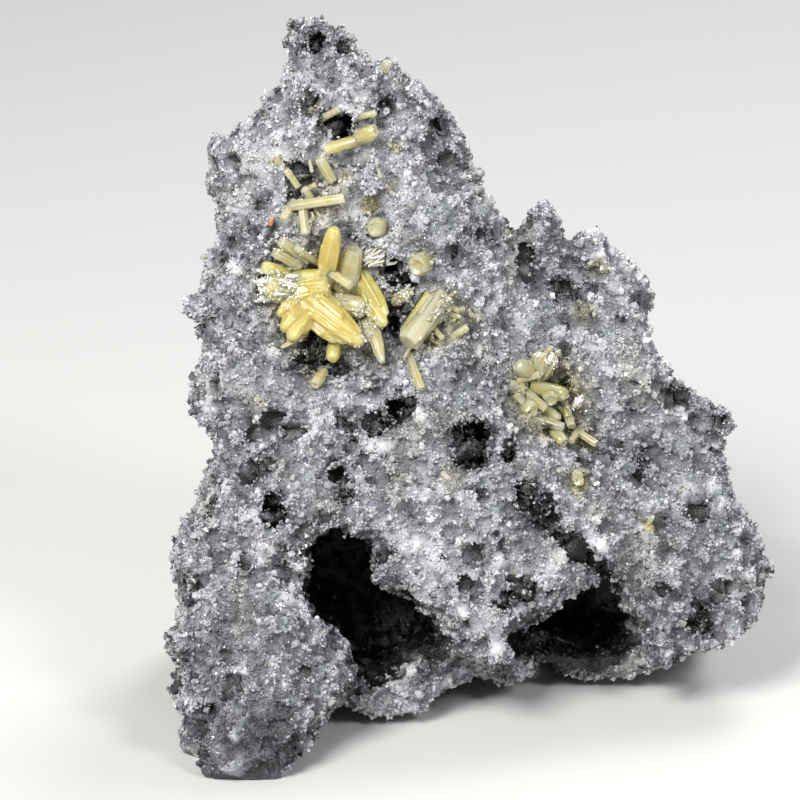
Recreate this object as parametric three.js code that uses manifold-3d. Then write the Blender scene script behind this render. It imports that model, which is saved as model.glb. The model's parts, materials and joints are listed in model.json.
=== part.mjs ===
// A hand specimen: honey and pale green mimetite crystals on a block of grey drusy quartz.
// The block stands on a foot and two heels, leans back, and is hollowed by two low caves.
//
// The rock is laid out in its own frame: "across" to the right, "into" the rock and "up" the
// face, all in millimetres. That frame leans back by LEAN, and FACE_TO_WORLD stands it upright.
import * as THREE from "three";
import { MarchingCubes } from "three/addons/objects/MarchingCubes.js";
import { ImprovedNoise } from "three/addons/math/ImprovedNoise.js";
import { mergeVertices } from "three/addons/utils/BufferGeometryUtils.js";
import Module from "manifold-3d";

const wasm = await Module();
wasm.setup();

// ---- Driving dimensions, in millimetres and degrees ----------------------------------------
const LEAN = 20;
const TABLE_AT_FACE = 8; // the foot's front edge stands this far before the face's zero depth

// The block's outline, clockwise from its top, as [across, up]. It runs a little below the
// table, which cuts it off.
const OUTLINE = [
  [-7.5, 61.1], [-5.6, 60.5], [-4.6, 59.4], [-3.1, 57.6], [-0.9, 57.4], [0.6, 55.5],
  [1.4, 55.7], [2.9, 54.2], [4.1, 52.1], [5.0, 50.8], [6.0, 48.2], [7.7, 47.4],
  [8.3, 44.6], [8.5, 43.7], [9.2, 45.5], [10.8, 45.4], [11.0, 46.2], [11.6, 46.4],
  [14.6, 44.3], [15.5, 44.3], [17.8, 42.7], [20.4, 40.3], [19.9, 38.2], [21.0, 34.3],
  [22.7, 31.8], [24.5, 31.3], [26.6, 29.4], [27.0, 28.2], [26.3, 26.8], [26.7, 25.0],
  [27.4, 23.9], [28.2, 20.6], [29.1, 17.6], [29.8, 16.8], [29.7, 15.8], [28.8, 13.3],
  [28.0, 11.0], [26.2, 10.7], [25.9, 10.0], [25.1, 9.8], [22.2, 10.2], [21.8, 9.0],
  [19.6, 7.3], [14.9, 7.2], [10.2, 7.3], [7.1, 8.5], [5.1, 7.2], [3.0, 7.2], [2.2, 6.6],
  [2.2, 5.8], [1.2, 3.6], [-1.4, 3.2], [-5.4, 3.0], [-6.2, 2.4], [-7.1, 2.5],
  [-8.6, -1.0], [-12.0, -2.0], [-15.5, -1.5], [-16.2, 2.9], [-17.2, 5.1], [-17.6, 6.6],
  [-16.7, 8.9], [-17.5, 9.3], [-18.7, 11.5], [-18.4, 12.1], [-17.7, 12.1], [-17.6, 14.6],
  [-17.1, 15.3], [-18.0, 17.8], [-17.8, 19.2], [-16.8, 20.4], [-16.0, 20.1], [-15.8, 22.9],
  [-14.8, 25.2], [-14.8, 26.8], [-16.2, 29.1], [-16.5, 31.4], [-15.4, 32.2], [-16.0, 33.0],
  [-15.8, 35.4], [-17.4, 37.5], [-16.5, 39.2], [-15.3, 41.2], [-15.5, 41.7], [-14.3, 43.3],
  [-14.7, 45.6], [-14.8, 46.9], [-15.6, 48.5], [-15.2, 50.8], [-14.8, 51.7], [-13.3, 51.7],
  [-12.0, 53.9], [-10.6, 53.8], [-9.9, 56.3], [-9.4, 57.0], [-9.6, 59.4], [-8.6, 60.6],
];

// The mouths of the two caves, which the front slab overhangs.
const LEFT_MOUTH = [
  [-7.6, 20.3], [-5.2, 20.5], [-3.0, 20.0], [-2.6, 18.4], [-2.1, 17.6], [-2.2, 15.7],
  [-0.3, 14.8], [1.4, 14.1], [2.9, 12.6], [3.4, 10.6], [4.2, 9.3], [2.6, 9.3], [1.0, 9.6],
  [0.0, 8.5], [-1.8, 7.4], [-4.0, 6.4], [-5.1, 5.7], [-3.4, 8.2], [-3.8, 10.2],
  [-5.0, 11.8], [-6.6, 12.6], [-7.8, 13.9], [-7.4, 15.7], [-7.2, 17.4], [-7.5, 19.0],
];
const RIGHT_MOUTH = [
  [8.6, 11.5], [10.2, 11.5], [11.6, 12.3], [12.8, 13.3], [14.4, 14.1], [16.0, 14.8],
  [17.5, 12.0], [19.8, 10.3], [18.4, 9.3], [17.3, 8.5], [15.8, 7.9], [14.2, 7.8],
  [12.8, 8.5], [11.2, 8.8], [9.6, 9.3], [8.6, 9.6],
];

// The low shelf behind and below the mouths: what is not slab along the bottom edge.
const SHELF = [
  [-6.2, 7.0], [-5.1, 5.7], [-4.0, 6.4], [-1.8, 7.4], [0.0, 8.5], [1.0, 9.6], [2.6, 9.3],
  [4.2, 9.3], [5.4, 9.0], [6.2, 8.8], [8.6, 9.4], [11.2, 8.8], [12.8, 8.5], [14.2, 7.8],
  [15.8, 7.9], [17.3, 8.5], [18.4, 9.3], [19.8, 10.3], [21.2, 10.4], [22.2, 8.0],
  [19.6, 5.0], [2.0, 3.0], [-5.6, 2.0],
];

// How deep the front lies: [across, up, into]. Between these it is interpolated.
const SLAB_DEPTHS = [
  [-7.2, 59.0, 1.5], [-4.0, 53.4, 0.5], [-14.8, 50.2, 2.0], [-9.6, 42.2, 0.0],
  [-4.8, 39.0, 2.0], [-13.6, 38.2, 1.0], [-12.0, 31.8, -1.0], [3.2, 43.8, 0.0],
  [6.4, 46.2, 1.5], [2.4, 28.6, 0.0], [4.0, 22.2, -1.5], [2.4, 14.2, -2.0],
  [9.6, 22.2, -0.5], [12.8, 17.4, 0.0], [12.8, 41.4, 6.0], [17.6, 38.2, 6.0],
  [16.0, 30.2, 5.0], [22.4, 27.8, 6.0], [24.0, 19.0, 4.0], [27.2, 15.8, 5.0],
  [20.0, 14.2, 3.0], [20.8, 11.0, 3.5], [-14.4, 27.8, -0.5], [-12.8, 17.4, -4.0],
  [-13.6, 11.0, -6.0], [-12.0, 4.6, -8.0], [-12.0, 0.6, -8.0],
];
const SHELF_DEPTHS = [
  [-4.8, 5.0, 1.6], [0.0, 5.8, 2.6], [8.0, 8.8, 4.0], [12.8, 7.8, 7.0], [19.2, 7.8, 8.0],
];

// The back stands about upright, so it comes nearer to the face towards the top.
const BACK_AT_FOOT = 26;
const BACK_SLOPE = 0.31;
const SIDE_DRAFT = 0.15; // the sides draw in behind DRAFT_FROM, per millimetre of depth
const DRAFT_FROM = 6;
const EDGE_ROUND = 2.6; // how widely the face turns over into the sides
const BACK_ROUND = 5;

const LEFT_CAVE_DEPTH = 14;
const RIGHT_CAVE_DEPTH = 15;
const CAVE_BELLY = 1.0; // the caves widen by this behind their mouths

// Low relief: [height, wavelength] of each swell, and the round nodules between them.
const FRONT_SWELLS = [[0.45, 9.0], [0.45, 4.6]];
const BACK_SWELLS = [[1.3, 11.0], [0.7, 5.0]];
const UNDERSIDE_SWELLS = [[0.3, 6.0]];
const NODULE_PITCH = 4.6;
const NODULE_HEIGHT = 1.2;
const CAVE_RELIEF = 0.3; // the relief in the caves, as a share of the relief outside
const BACK_RELIEF = 0.6;

// The flat places that the block rests on, [x, y] from the face's zero line, and their radius.
const RESTS = [[-12.2, -2.6], [-4.0, 20.0], [18.0, 20.0]];
const REST_RADIUS = 3.4;
const REST_DEPTH = 0.6;
const UNDERSIDE_CLEAR = 0.4; // how far the rest of the underside is held off the table

const CLEARANCE = 0.3; // between a crystal and its socket
const SHELF_LAP = 0.4; // how far the slab reaches in front of the shelf it grows from

// Black pits in the face: [across, up, half width, half height, depth].
const PITS = [
  [-6.8, 58.7, 0.75, 0.75, 2.4], [-5.0, 52.0, 1.15, 0.85, 1.6], [-8.4, 48.2, 0.5, 1.1, 1.4],
  [-0.4, 54.5, 1.0, 0.8, 0.9], [-0.1, 40.3, 0.9, 1.0, 2.2], [-0.7, 36.4, 0.8, 2.1, 2.8],
  [-6.9, 34.8, 1.1, 1.1, 2.6], [-5.6, 33.2, 0.8, 1.3, 1.8], [-0.1, 29.8, 1.2, 0.8, 1.4],
  [-4.6, 28.8, 0.6, 1.0, 1.1], [-2.0, 28.1, 0.8, 0.8, 1.3], [6.0, 27.4, 0.9, 1.1, 1.6],
  [5.6, 25.0, 0.7, 1.5, 1.5], [8.6, 26.2, 0.9, 0.8, 1.4], [-4.6, 23.6, 0.9, 1.0, 1.4],
  [-10.0, 21.8, 0.9, 0.7, 1.2], [10.2, 41.6, 0.8, 1.5, 1.2], [12.6, 39.6, 0.9, 0.9, 1.1],
  [19.6, 25.4, 0.6, 1.3, 1.1], [9.2, 14.6, 1.2, 0.6, 1.2], [24.2, 12.8, 1.3, 0.6, 1.4],
  [-7.5, 3.0, 0.7, 1.0, 1.2],
];
const PIT_SINK = 0.35; // how far a pit's middle lies below the face, as a share of its depth

// The crack that runs down to the right-hand cave, as [across, up] stops, and its section.
const CRACK = [[9.4, 24.0], [10.9, 22.6], [12.6, 20.6], [14.4, 18.0], [16.2, 15.6]];
const CRACK_WIDTHS = [0.55, 0.7, 0.6, 0.35];
const CRACK_DEPTH = 1.5;

// Round lumps on the face and on its rim: [across, up, radius, into].
const LUMPS = [
  [-8.1, 17.3, 1.0, 0.2], [-7.9, 13.8, 1.0, 0.2], [-10.2, 18.7, 1.2, 0.4],
  [-14.3, 50.4, 1.5, 1.4], [-14.5, 47.9, 1.3, 1.2], [-16.2, 37.6, 1.5, 1.6],
  [-15.1, 30.8, 1.7, 1.2], [-16.1, 17.6, 2.1, 1.6], [-17.1, 11.3, 1.5, 1.6],
  [-16.0, 6.8, 1.7, 1.4], [24.6, 11.2, 1.5, 0.5], [20.8, 9.9, 1.5, 0.6],
  [7.6, 10.3, 1.5, 0.3], [-6.9, 20.4, 0.8, 0.2], [4.0, 33.4, 1.2, 0.3],
  [-2.4, 31.6, 1.3, 0.3], [-7.5, 59.2, 2.0, 1.4], [11.4, 45.0, 1.5, 1.5],
  [26.0, 28.4, 1.5, 1.2], [15.4, 42.6, 1.9, 1.6], [5.8, 47.8, 1.3, 1.4],
];

// ---- The crystals --------------------------------------------------------------------------
// A habit is a crystal's profile, as [share of its half width, share of its length].
const PRISM = [[0, 0], [1, 0], [1, 0.88], [0.6, 1], [0, 1]];
const POINTED = [[0, 0], [0.9, 0], [1, 0.72], [0.3, 1], [0, 1]];
const BARREL = [[0, 0], [0.7, 0], [1, 0.5], [0.55, 1], [0, 1]];
const SPINDLE = [[0, 0], [0.55, 0], [1, 0.45], [0.72, 0.8], [0.3, 1], [0, 1]];

const HONEY = 0xd9b958;
const PALE = 0xc9c58a;
const GREY = 0x8f9097;

// Each group is one solid, grown together. A crystal's base is sunk into the rock and its tip
// is lifted from the face; base and tip are [across, up].
const CRYSTALS = {
  main_spray: {
    color: HONEY,
    root: { centre: [-6.6, 38.3], radii: [2.6, 1.2, 1.7], sink: 0.9, detail: 0 },
    members: [
      { base: [-6.1, 38.3], tip: [-5.1, 43.9], width: 1.8, sink: 0.8, lift: 1.9, habit: SPINDLE },
      { base: [-8.3, 38.3], tip: [-3.0, 34.7], width: 2.3, sink: 0.3, lift: 1.8, habit: SPINDLE },
      { base: [-6.8, 38.4], tip: [-11.1, 39.3], width: 2.2, sink: 0.5, lift: 0.9, habit: BARREL },
      { base: [-6.8, 38.4], tip: [-8.7, 35.2], width: 2.0, sink: 0.6, lift: 0.9, habit: BARREL },
      { base: [-7.2, 39.0], tip: [-10.9, 41.2], width: 1.3, sink: 0.6, lift: 0.5, habit: PRISM },
      { base: [-3.3, 40.8], tip: [-1.1, 36.1], width: 2.0, sink: 0.9, lift: 1.5, habit: SPINDLE },
      { base: [-2.0, 37.8], tip: [-1.5, 33.0], width: 1.1, sink: 0.1, lift: 0.7, habit: POINTED },
      { base: [-6.2, 40.6], tip: [-8.2, 42.4], width: 0.7, sink: 0.5, lift: 1.0, habit: PRISM },
      { base: [-5.4, 40.6], tip: [-3.8, 39.3], width: 0.7, sink: -0.6, lift: 1.9, habit: PRISM },
      { base: [-4.6, 38.2], tip: [-3.5, 42.4], width: 1.6, sink: 0.9, lift: 0.4, habit: PRISM },
      { base: [-6.2, 38.2], tip: [-2.4, 37.6], width: 1.7, sink: 0.7, lift: 0.7, habit: BARREL },
      { base: [-7.6, 40.2], tip: [-10.3, 42.7], width: 0.95, sink: 0.6, lift: 0.3, habit: PRISM },
    ],
  },
  long_prism_group: {
    color: PALE,
    members: [
      { base: [-8.8, 45.6], tip: [-4.3, 46.4], width: 0.95, sink: 0.2, lift: 0.8, habit: POINTED },
      { base: [-8.4, 46.1], tip: [-9.3, 44.6], width: 0.7, sink: 0.3, lift: 0.6, habit: PRISM },
      { base: [-8.0, 46.4], tip: [-7.4, 43.4], width: 0.8, sink: 0.5, lift: 0.3, habit: PRISM },
      { base: [-6.9, 45.9], tip: [-7.7, 47.5], width: 0.85, sink: 0.6, lift: 0.3, habit: PRISM },
    ],
  },
  upper_prism_pair: {
    color: PALE,
    members: [
      { base: [-3.2, 51.0], tip: [-6.1, 50.1], width: 1.05, sink: 0.3, lift: 0.8, habit: POINTED },
      { base: [-3.7, 50.9], tip: [-1.9, 51.7], width: 1.3, sink: 0.3, lift: 0.8, habit: BARREL },
    ],
  },
  top_prism: {
    color: PALE,
    members: [
      { base: [-6.4, 52.6], tip: [-4.8, 53.4], width: 0.6, sink: 0.3, lift: 0.5, habit: PRISM },
    ],
  },
  top_right_prism: {
    color: PALE,
    members: [
      { base: [-3.4, 52.8], tip: [-1.9, 53.1], width: 0.55, sink: 0.3, lift: 0.4, habit: PRISM },
    ],
  },
  short_prism: {
    color: PALE,
    members: [
      { base: [-5.4, 47.7], tip: [-6.4, 49.5], width: 0.95, sink: 0.4, lift: 0.5, habit: PRISM },
    ],
  },
  shadowed_prism: {
    color: PALE,
    members: [
      { base: [-8.1, 47.2], tip: [-9.1, 48.6], width: 0.6, sink: 0.3, lift: 0.4, habit: PRISM },
    ],
  },
  upper_end_on_barrel: {
    color: PALE,
    members: [
      { base: [-1.6, 44.2], tip: [-2.0, 43.9], width: 1.7, sink: 0.8, lift: 1.0, habit: BARREL },
    ],
  },
  right_end_on_barrel: {
    color: HONEY,
    members: [
      { base: [2.1, 41.5], tip: [1.3, 40.8], width: 1.9, sink: 0.9, lift: 1.2, habit: BARREL },
    ],
  },
  stout_prism_group: {
    color: HONEY,
    members: [
      { base: [3.4, 38.6], tip: [0.6, 34.8], width: 2.1, sink: 0.7, lift: 1.0, habit: PRISM },
      { base: [0.9, 35.7], tip: [0.2, 33.3], width: 0.85, sink: 0.4, lift: 0.5, habit: PRISM },
      { base: [0.2, 34.1], tip: [1.8, 31.1], width: 0.8, sink: 0.4, lift: 0.5, habit: PRISM },
      { base: [2.3, 36.4], tip: [3.5, 35.1], width: 0.5, sink: 0.1, lift: 0.9, habit: PRISM },
    ],
  },
  side_prism: {
    color: PALE,
    members: [
      { base: [4.1, 35.1], tip: [5.4, 36.1], width: 0.7, sink: 0.3, lift: 0.5, habit: PRISM },
    ],
  },
  pale_stub: {
    color: PALE,
    members: [
      { base: [-0.5, 38.1], tip: [0.8, 38.9], width: 1.0, sink: 0.5, lift: 0.7, habit: BARREL },
    ],
  },
  right_pocket_crust: {
    color: PALE,
    root: { centre: [11.4, 30.3], radii: [2.7, 1.1, 3.4], sink: 0.7, detail: 1 },
    members: [
      { base: [10.3, 32.2], tip: [9.3, 32.9], width: 1.3, sink: 0.8, lift: 0.8, habit: BARREL },
      { base: [11.2, 31.4], tip: [10.5, 34.0], width: 1.0, sink: 0.6, lift: 0.7, habit: PRISM },
      { base: [11.2, 31.4], tip: [12.0, 34.2], width: 0.9, sink: 0.6, lift: 0.5, habit: PRISM },
      { base: [9.7, 31.5], tip: [11.5, 29.8], width: 0.65, sink: 0.4, lift: 0.8, habit: PRISM },
      { base: [11.6, 31.5], tip: [11.9, 30.3], width: 1.2, sink: 0.7, lift: 1.0, habit: BARREL },
      { base: [12.4, 30.6], tip: [13.4, 30.6], width: 0.85, sink: 0.5, lift: 0.7, habit: BARREL },
      { base: [13.1, 30.0], tip: [13.8, 27.7], width: 0.75, sink: 0.4, lift: 0.7, habit: PRISM },
      { base: [10.5, 28.9], tip: [13.0, 28.3], width: 0.85, sink: 0.3, lift: 0.7, habit: PRISM },
      { base: [11.4, 28.2], tip: [13.1, 27.0], width: 0.8, sink: 0.6, lift: 0.5, habit: PRISM },
      { base: [10.3, 30.4], tip: [9.5, 29.2], width: 0.95, sink: 0.7, lift: 0.6, habit: BARREL },
    ],
  },
};

// ---- The rock's frame ----------------------------------------------------------------------
const lean = THREE.MathUtils.degToRad(LEAN);
const FACE_TO_WORLD = new THREE.Matrix4().makeBasis(
  new THREE.Vector3(1, 0, 0),
  new THREE.Vector3(0, Math.cos(lean), -Math.sin(lean)),
  new THREE.Vector3(0, Math.sin(lean), Math.cos(lean)),
);
FACE_TO_WORLD.premultiply(
  new THREE.Matrix4().makeTranslation(0, 0, -TABLE_AT_FACE * Math.sin(lean)),
);
const noise = new ImprovedNoise();
const NOISE_SHIFT = [11.3, 5.1, 7.7]; // keeps the noise's own lattice off the face

// ---- Small mathematics ---------------------------------------------------------------------
const clamp = THREE.MathUtils.clamp;
const smoothstep = THREE.MathUtils.smoothstep;

// The smaller of two distances, rounded over where they are nearly equal.
function softMin(a, b, round) {
  const blend = clamp(0.5 + (0.5 * (b - a)) / round, 0, 1);
  return b + (a - b) * blend - round * blend * (1 - blend);
}

// A repeatable number from 0 to 1 for a lattice point.
function scatter(i, j, k) {
  const wave = Math.sin(i * 127.1 + j * 311.7 + k * 74.7) * 43758.5453;
  return wave - Math.floor(wave);
}

// Distance to a closed outline, positive inside.
function insideDistance(outline, x, y) {
  let nearest = Infinity;
  let inside = false;
  for (let i = 0, j = outline.length - 1; i < outline.length; j = i, i += 1) {
    const [x1, y1] = outline[i];
    const [x2, y2] = outline[j];
    const along = clamp(
      ((x - x1) * (x2 - x1) + (y - y1) * (y2 - y1)) / ((x2 - x1) ** 2 + (y2 - y1) ** 2),
      0,
      1,
    );
    nearest = Math.min(
      nearest,
      Math.hypot(x - x1 - along * (x2 - x1), y - y1 - along * (y2 - y1)),
    );
    if (y1 > y !== y2 > y && x < ((x2 - x1) * (y - y1)) / (y2 - y1) + x1) inside = !inside;
  }
  return inside ? nearest : -nearest;
}

// A depth between the measured ones, nearer ones counting for more.
function depthAt(stations, across, up) {
  let sum = 0;
  let weight = 0;
  for (const [x, y, depth] of stations) {
    const share = 1 / ((across - x) ** 2 + (up - y) ** 2 + 1) ** 1.5;
    sum += depth * share;
    weight += share;
  }
  return sum / weight;
}

// Smooth swells: each is noise of its own height and wavelength.
function swell(swells, x, y, z) {
  return swells.reduce((height, [amount, length]) => {
    const [i, j, k] = NOISE_SHIFT.map((shift, axis) => [x, y, z][axis] / length + shift);
    return height + 2 * amount * noise.noise(i, j, k);
  }, 0);
}

// Round nodules: highest at scattered centres, one in each cell of a lattice.
function nodules(x, y, z) {
  const cell = [x, y, z].map((value) => Math.floor(value / NODULE_PITCH));
  let nearest = Infinity;
  for (let i = cell[0] - 1; i <= cell[0] + 1; i += 1)
    for (let j = cell[1] - 1; j <= cell[1] + 1; j += 1)
      for (let k = cell[2] - 1; k <= cell[2] + 1; k += 1) {
        const centre = [i + scatter(i, j, k), j + scatter(j, k, i), k + scatter(k, i, j)];
        const gap = Math.hypot(
          x / NODULE_PITCH - centre[0],
          y / NODULE_PITCH - centre[1],
          z / NODULE_PITCH - centre[2],
        );
        nearest = Math.min(nearest, gap);
      }
  return NODULE_HEIGHT * (1 - 2 * nearest);
}

// ---- The rock as distances from its surfaces, positive in the rock -------------------------
const slabDepth = (across, up) => depthAt(SLAB_DEPTHS, across, up);
const shelfDepth = (across, up) => depthAt(SHELF_DEPTHS, across, up);

// The outline's sides, which draw in and grow rough towards the back.
function sides(across, into, up) {
  const behind = Math.max(0, into - DRAFT_FROM);
  const rough = smoothstep(into, 4, 14) * swell(BACK_SWELLS, across, into, up);
  return insideDistance(OUTLINE, across, up) - SIDE_DRAFT * behind + rough;
}

// A cave runs level into the rock from its mouth, so its section climbs with the depth. It
// widens behind the mouth, but never down into the shelf.
function cave(mouth, depth, across, into, up) {
  const level = up - Math.tan(lean) * Math.max(0, into - 4);
  const belly = CAVE_BELLY * smoothstep(into, 1, 6);
  const opened = softMin(insideDistance(mouth, across, level) + belly, depth - into, 3);
  return Math.min(opened, -insideDistance(SHELF, across, level));
}

// The front slab, whose lower edge stands out over the shelf.
function slab(across, into, up) {
  const front = into - slabDepth(across, up);
  const shelfCut = -insideDistance(SHELF, across, up);
  const notShelf = into > shelfDepth(across, up) - SHELF_LAP ? Infinity : shelfCut;
  return Math.min(softMin(sides(across, into, up), front, EDGE_ROUND), notShelf);
}

// Height over the underside, which is held off the table except at the rests.
function underside(across, into, up) {
  const x = across;
  const y = into * Math.cos(lean) + up * Math.sin(lean);
  const z = up * Math.cos(lean) - (into + TABLE_AT_FACE) * Math.sin(lean);
  const toRest = Math.min(...RESTS.map(([rx, ry]) => Math.hypot(x - rx, y - ry)));
  const hollow = smoothstep(toRest, REST_RADIUS, REST_RADIUS + 3);
  const rough = swell(UNDERSIDE_SWELLS, x, y, 0);
  return z + REST_DEPTH - hollow * (UNDERSIDE_CLEAR + REST_DEPTH + rough);
}

// Distance into the whole block.
function rock(across, into, up) {
  const relief = swell(FRONT_SWELLS, across, into, up) + nodules(across, into, up);
  const waves = BACK_RELIEF * swell(BACK_SWELLS, across, 0, up);
  const back = BACK_AT_FOOT - BACK_SLOPE * up - into + waves;
  const body = softMin(slab(across, into, up), back, BACK_ROUND) + relief;
  const left = cave(LEFT_MOUTH, LEFT_CAVE_DEPTH, across, into, up);
  const right = cave(RIGHT_MOUTH, RIGHT_CAVE_DEPTH, across, into, up);
  const walls = -Math.max(left, right) + CAVE_RELIEF * relief;
  return Math.min(body, walls, underside(across, into, up));
}

// ---- Closed meshes as solids, and back -----------------------------------------------------
const WELD = 1e-4;

// A closed geometry as a solid, without the empty triangles that a lathe's poles leave.
function solidOf(geometry) {
  const bare = geometry.index ? geometry.toNonIndexed() : geometry.clone();
  for (const name of Object.keys(bare.attributes))
    if (name !== "position") bare.deleteAttribute(name);
  const merged = mergeVertices(bare, WELD);
  const corners = merged.index.array;
  const kept = [];
  for (let i = 0; i < corners.length; i += 3) {
    const [a, b, c] = corners.slice(i, i + 3);
    if (a !== b && b !== c && c !== a) kept.push(a, b, c);
  }
  return new wasm.Manifold(
    new wasm.Mesh({
      numProp: 3,
      vertProperties: new Float32Array(merged.attributes.position.array),
      triVerts: new Uint32Array(kept),
    }),
  );
}

function geometryOf(solid) {
  const { vertProperties, triVerts } = solid.getMesh();
  const geometry = new THREE.BufferGeometry();
  geometry.setAttribute("position", new THREE.BufferAttribute(vertProperties, 3));
  geometry.setIndex(new THREE.BufferAttribute(triVerts, 1));
  return geometry;
}

// ---- The block -----------------------------------------------------------------------------
// The grid's cells are small at the face, which shows most, and grow with the depth.
const GRID = 35; // cells along each side of the grid
const FIRST_CELL = 1.83; // a cell's side in the nearest layer
const CELL_GROWTH = 1.4; // how much larger a cell would be in the farthest layer
const GRID_CENTRE = { across: 5.5, up: 30.5 };
const GRID_NEAR = -12;
const SHY = 0.15; // keeps the surface off the grid's own corners, in millimetres

// Where a point of the grid, given in cells from its first corner, lies in the rock's frame.
function gridPoint(column, layer, row) {
  const size = FIRST_CELL * (1 + (CELL_GROWTH * layer) / GRID);
  return [
    GRID_CENTRE.across + (column - GRID / 2) * size,
    GRID_NEAR + FIRST_CELL * layer * (1 + (CELL_GROWTH * layer) / GRID / 2),
    GRID_CENTRE.up + (row - GRID / 2) * size,
  ];
}

function blockSolid() {
  const grid = new MarchingCubes(GRID, new THREE.MeshBasicMaterial(), false, false, 40000);
  grid.isolation = 0;
  for (let column = 0; column < GRID; column += 1)
    for (let layer = 0; layer < GRID; layer += 1)
      for (let row = 0; row < GRID; row += 1) {
        const value = rock(...gridPoint(column, layer, row));
        const clear = Math.max(Math.abs(value), SHY) * (value < 0 ? -1 : 1);
        grid.setCell(column, layer, row, clear);
      }
  grid.update();
  const points = grid.positionArray.slice(0, grid.count * 3);
  for (let i = 0; i < points.length; i += 3) {
    const cells = [0, 1, 2].map((axis) => ((points[i + axis] + 1) * GRID) / 2);
    points.set(gridPoint(...cells), i);
  }
  const surface = new THREE.BufferGeometry();
  surface.setAttribute("position", new THREE.BufferAttribute(points, 3));
  return solidOf(surface);
}

// A faceted ball with its own radii, turned a little so that no two pits look alike.
function ball(centre, radii, detail, turn) {
  const geometry = new THREE.IcosahedronGeometry(1, detail);
  geometry.rotateX(turn);
  geometry.rotateY(2 * turn);
  geometry.scale(...radii);
  geometry.translate(...centre);
  return solidOf(geometry);
}

function pitSolids() {
  return PITS.map(([across, up, halfWidth, halfHeight, depth], i) => {
    const middle = slabDepth(across, up) + PIT_SINK * depth;
    return ball([across, middle, up], [halfWidth, depth, halfHeight], 0, i);
  });
}

function crackSolids() {
  return CRACK.slice(1).map(([across, up], i) => {
    const [fromAcross, fromUp] = CRACK[i];
    const run = new THREE.Vector2(across - fromAcross, up - fromUp);
    const geometry = new THREE.IcosahedronGeometry(1, 0);
    geometry.scale(run.length() * 0.75, CRACK_DEPTH, CRACK_WIDTHS[i]);
    geometry.rotateY(-run.angle());
    const middle = [(across + fromAcross) / 2, (up + fromUp) / 2];
    geometry.translate(middle[0], slabDepth(...middle) + PIT_SINK * CRACK_DEPTH, middle[1]);
    return solidOf(geometry);
  });
}

function lumpSolids() {
  return LUMPS.map(([across, up, radius, into], i) =>
    ball([across, slabDepth(across, up) + into, up], [radius, radius, radius], 0, i),
  );
}

// ---- Crystals in their sockets -------------------------------------------------------------
const SIDES = 6; // mimetite is hexagonal

// One crystal of its habit, from its base to its tip, grown by `spare` all round.
function crystalSolid({ base, tip, width, sink, lift, habit }, spare, turn) {
  const start = new THREE.Vector3(base[0], slabDepth(...base) + sink, base[1]);
  const end = new THREE.Vector3(tip[0], slabDepth(...tip) - lift, tip[1]);
  const along = end.clone().sub(start);
  const length = along.length() + 2 * spare;
  const profile = habit.map(
    ([share, at]) => new THREE.Vector2(share === 0 ? 0 : (share * width) / 2 + spare, at * length),
  );
  const geometry = new THREE.LatheGeometry(profile, SIDES);
  geometry.rotateY(turn);
  geometry.translate(0, -spare, 0);
  geometry.applyQuaternion(
    new THREE.Quaternion().setFromUnitVectors(new THREE.Vector3(0, 1, 0), along.normalize()),
  );
  geometry.translate(start.x, start.y, start.z);
  return solidOf(geometry);
}

function groupSolid({ root, members }, spare) {
  const solids = members.map((member, i) => crystalSolid(member, spare, i));
  if (root) {
    const centre = [root.centre[0], slabDepth(...root.centre) + root.sink, root.centre[1]];
    const radii = root.radii.map((radius) => radius + spare);
    solids.push(ball(centre, radii, root.detail, 0));
  }
  return solids.reduce((joined, solid) => joined.add(solid));
}

// The largest body of a solid, without the crumbs that cutting can leave.
function mainBody(solid) {
  const bodies = solid.decompose();
  return bodies.reduce((best, body) => (body.volume() > best.volume() ? body : best));
}

function matrixSolid() {
  let solid = blockSolid();
  for (const lump of lumpSolids()) solid = solid.add(lump);
  const cuts = [
    ...pitSolids(),
    ...crackSolids(),
    ...Object.values(CRYSTALS).map((group) => groupSolid(group, CLEARANCE)),
  ];
  for (const cut of cuts) solid = solid.subtract(cut);
  return mainBody(solid);
}

// ---- The specimen, upright, with its origin under the middle of its box ---------------------
const TABLE = new THREE.BoxGeometry(200, 200, 20).translate(0, 0, -10);
const ROCK_ROUGHNESS = 0.75;
const CRYSTAL_ROUGHNESS = 0.25;

function named(name, solid, color, roughness) {
  const material = new THREE.MeshStandardMaterial({ color, roughness, metalness: 0 });
  const mesh = new THREE.Mesh(geometryOf(solid), material);
  mesh.name = name;
  return mesh;
}

function build() {
  const upright = (solid) => solidOf(geometryOf(solid).applyMatrix4(FACE_TO_WORLD));
  const specimen = new THREE.Group();
  const rockSolid = mainBody(upright(matrixSolid()).subtract(solidOf(TABLE)));
  specimen.add(named("matrix", rockSolid, GREY, ROCK_ROUGHNESS));
  for (const [name, group] of Object.entries(CRYSTALS)) {
    const solid = upright(groupSolid(group, 0));
    specimen.add(named(name, solid, group.color, CRYSTAL_ROUGHNESS));
  }

  const box = new THREE.Box3().setFromObject(specimen);
  const middle = box.getCenter(new THREE.Vector3());
  for (const mesh of specimen.children) mesh.geometry.translate(-middle.x, -middle.y, -box.min.z);
  return specimen;
}

const specimen = build();
export default specimen;
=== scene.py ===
"""Honey and pale green mimetite on a vuggy block of grey drusy quartz.

The block is one rough mass under a crust of small quartz points, and each group of mimetite
stands where its solid stands in the frame. Lengths are in millimetres and are turned into
metres where a mesh is made.
"""

import json
import logging
import math
from collections.abc import Callable, Iterator, Sequence
from contextlib import contextmanager
from dataclasses import dataclass, field
from enum import Enum
from itertools import pairwise

import bpy
import numpy as np
from mathutils import Matrix, Vector
from mathutils.bvhtree import BVHTree

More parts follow.
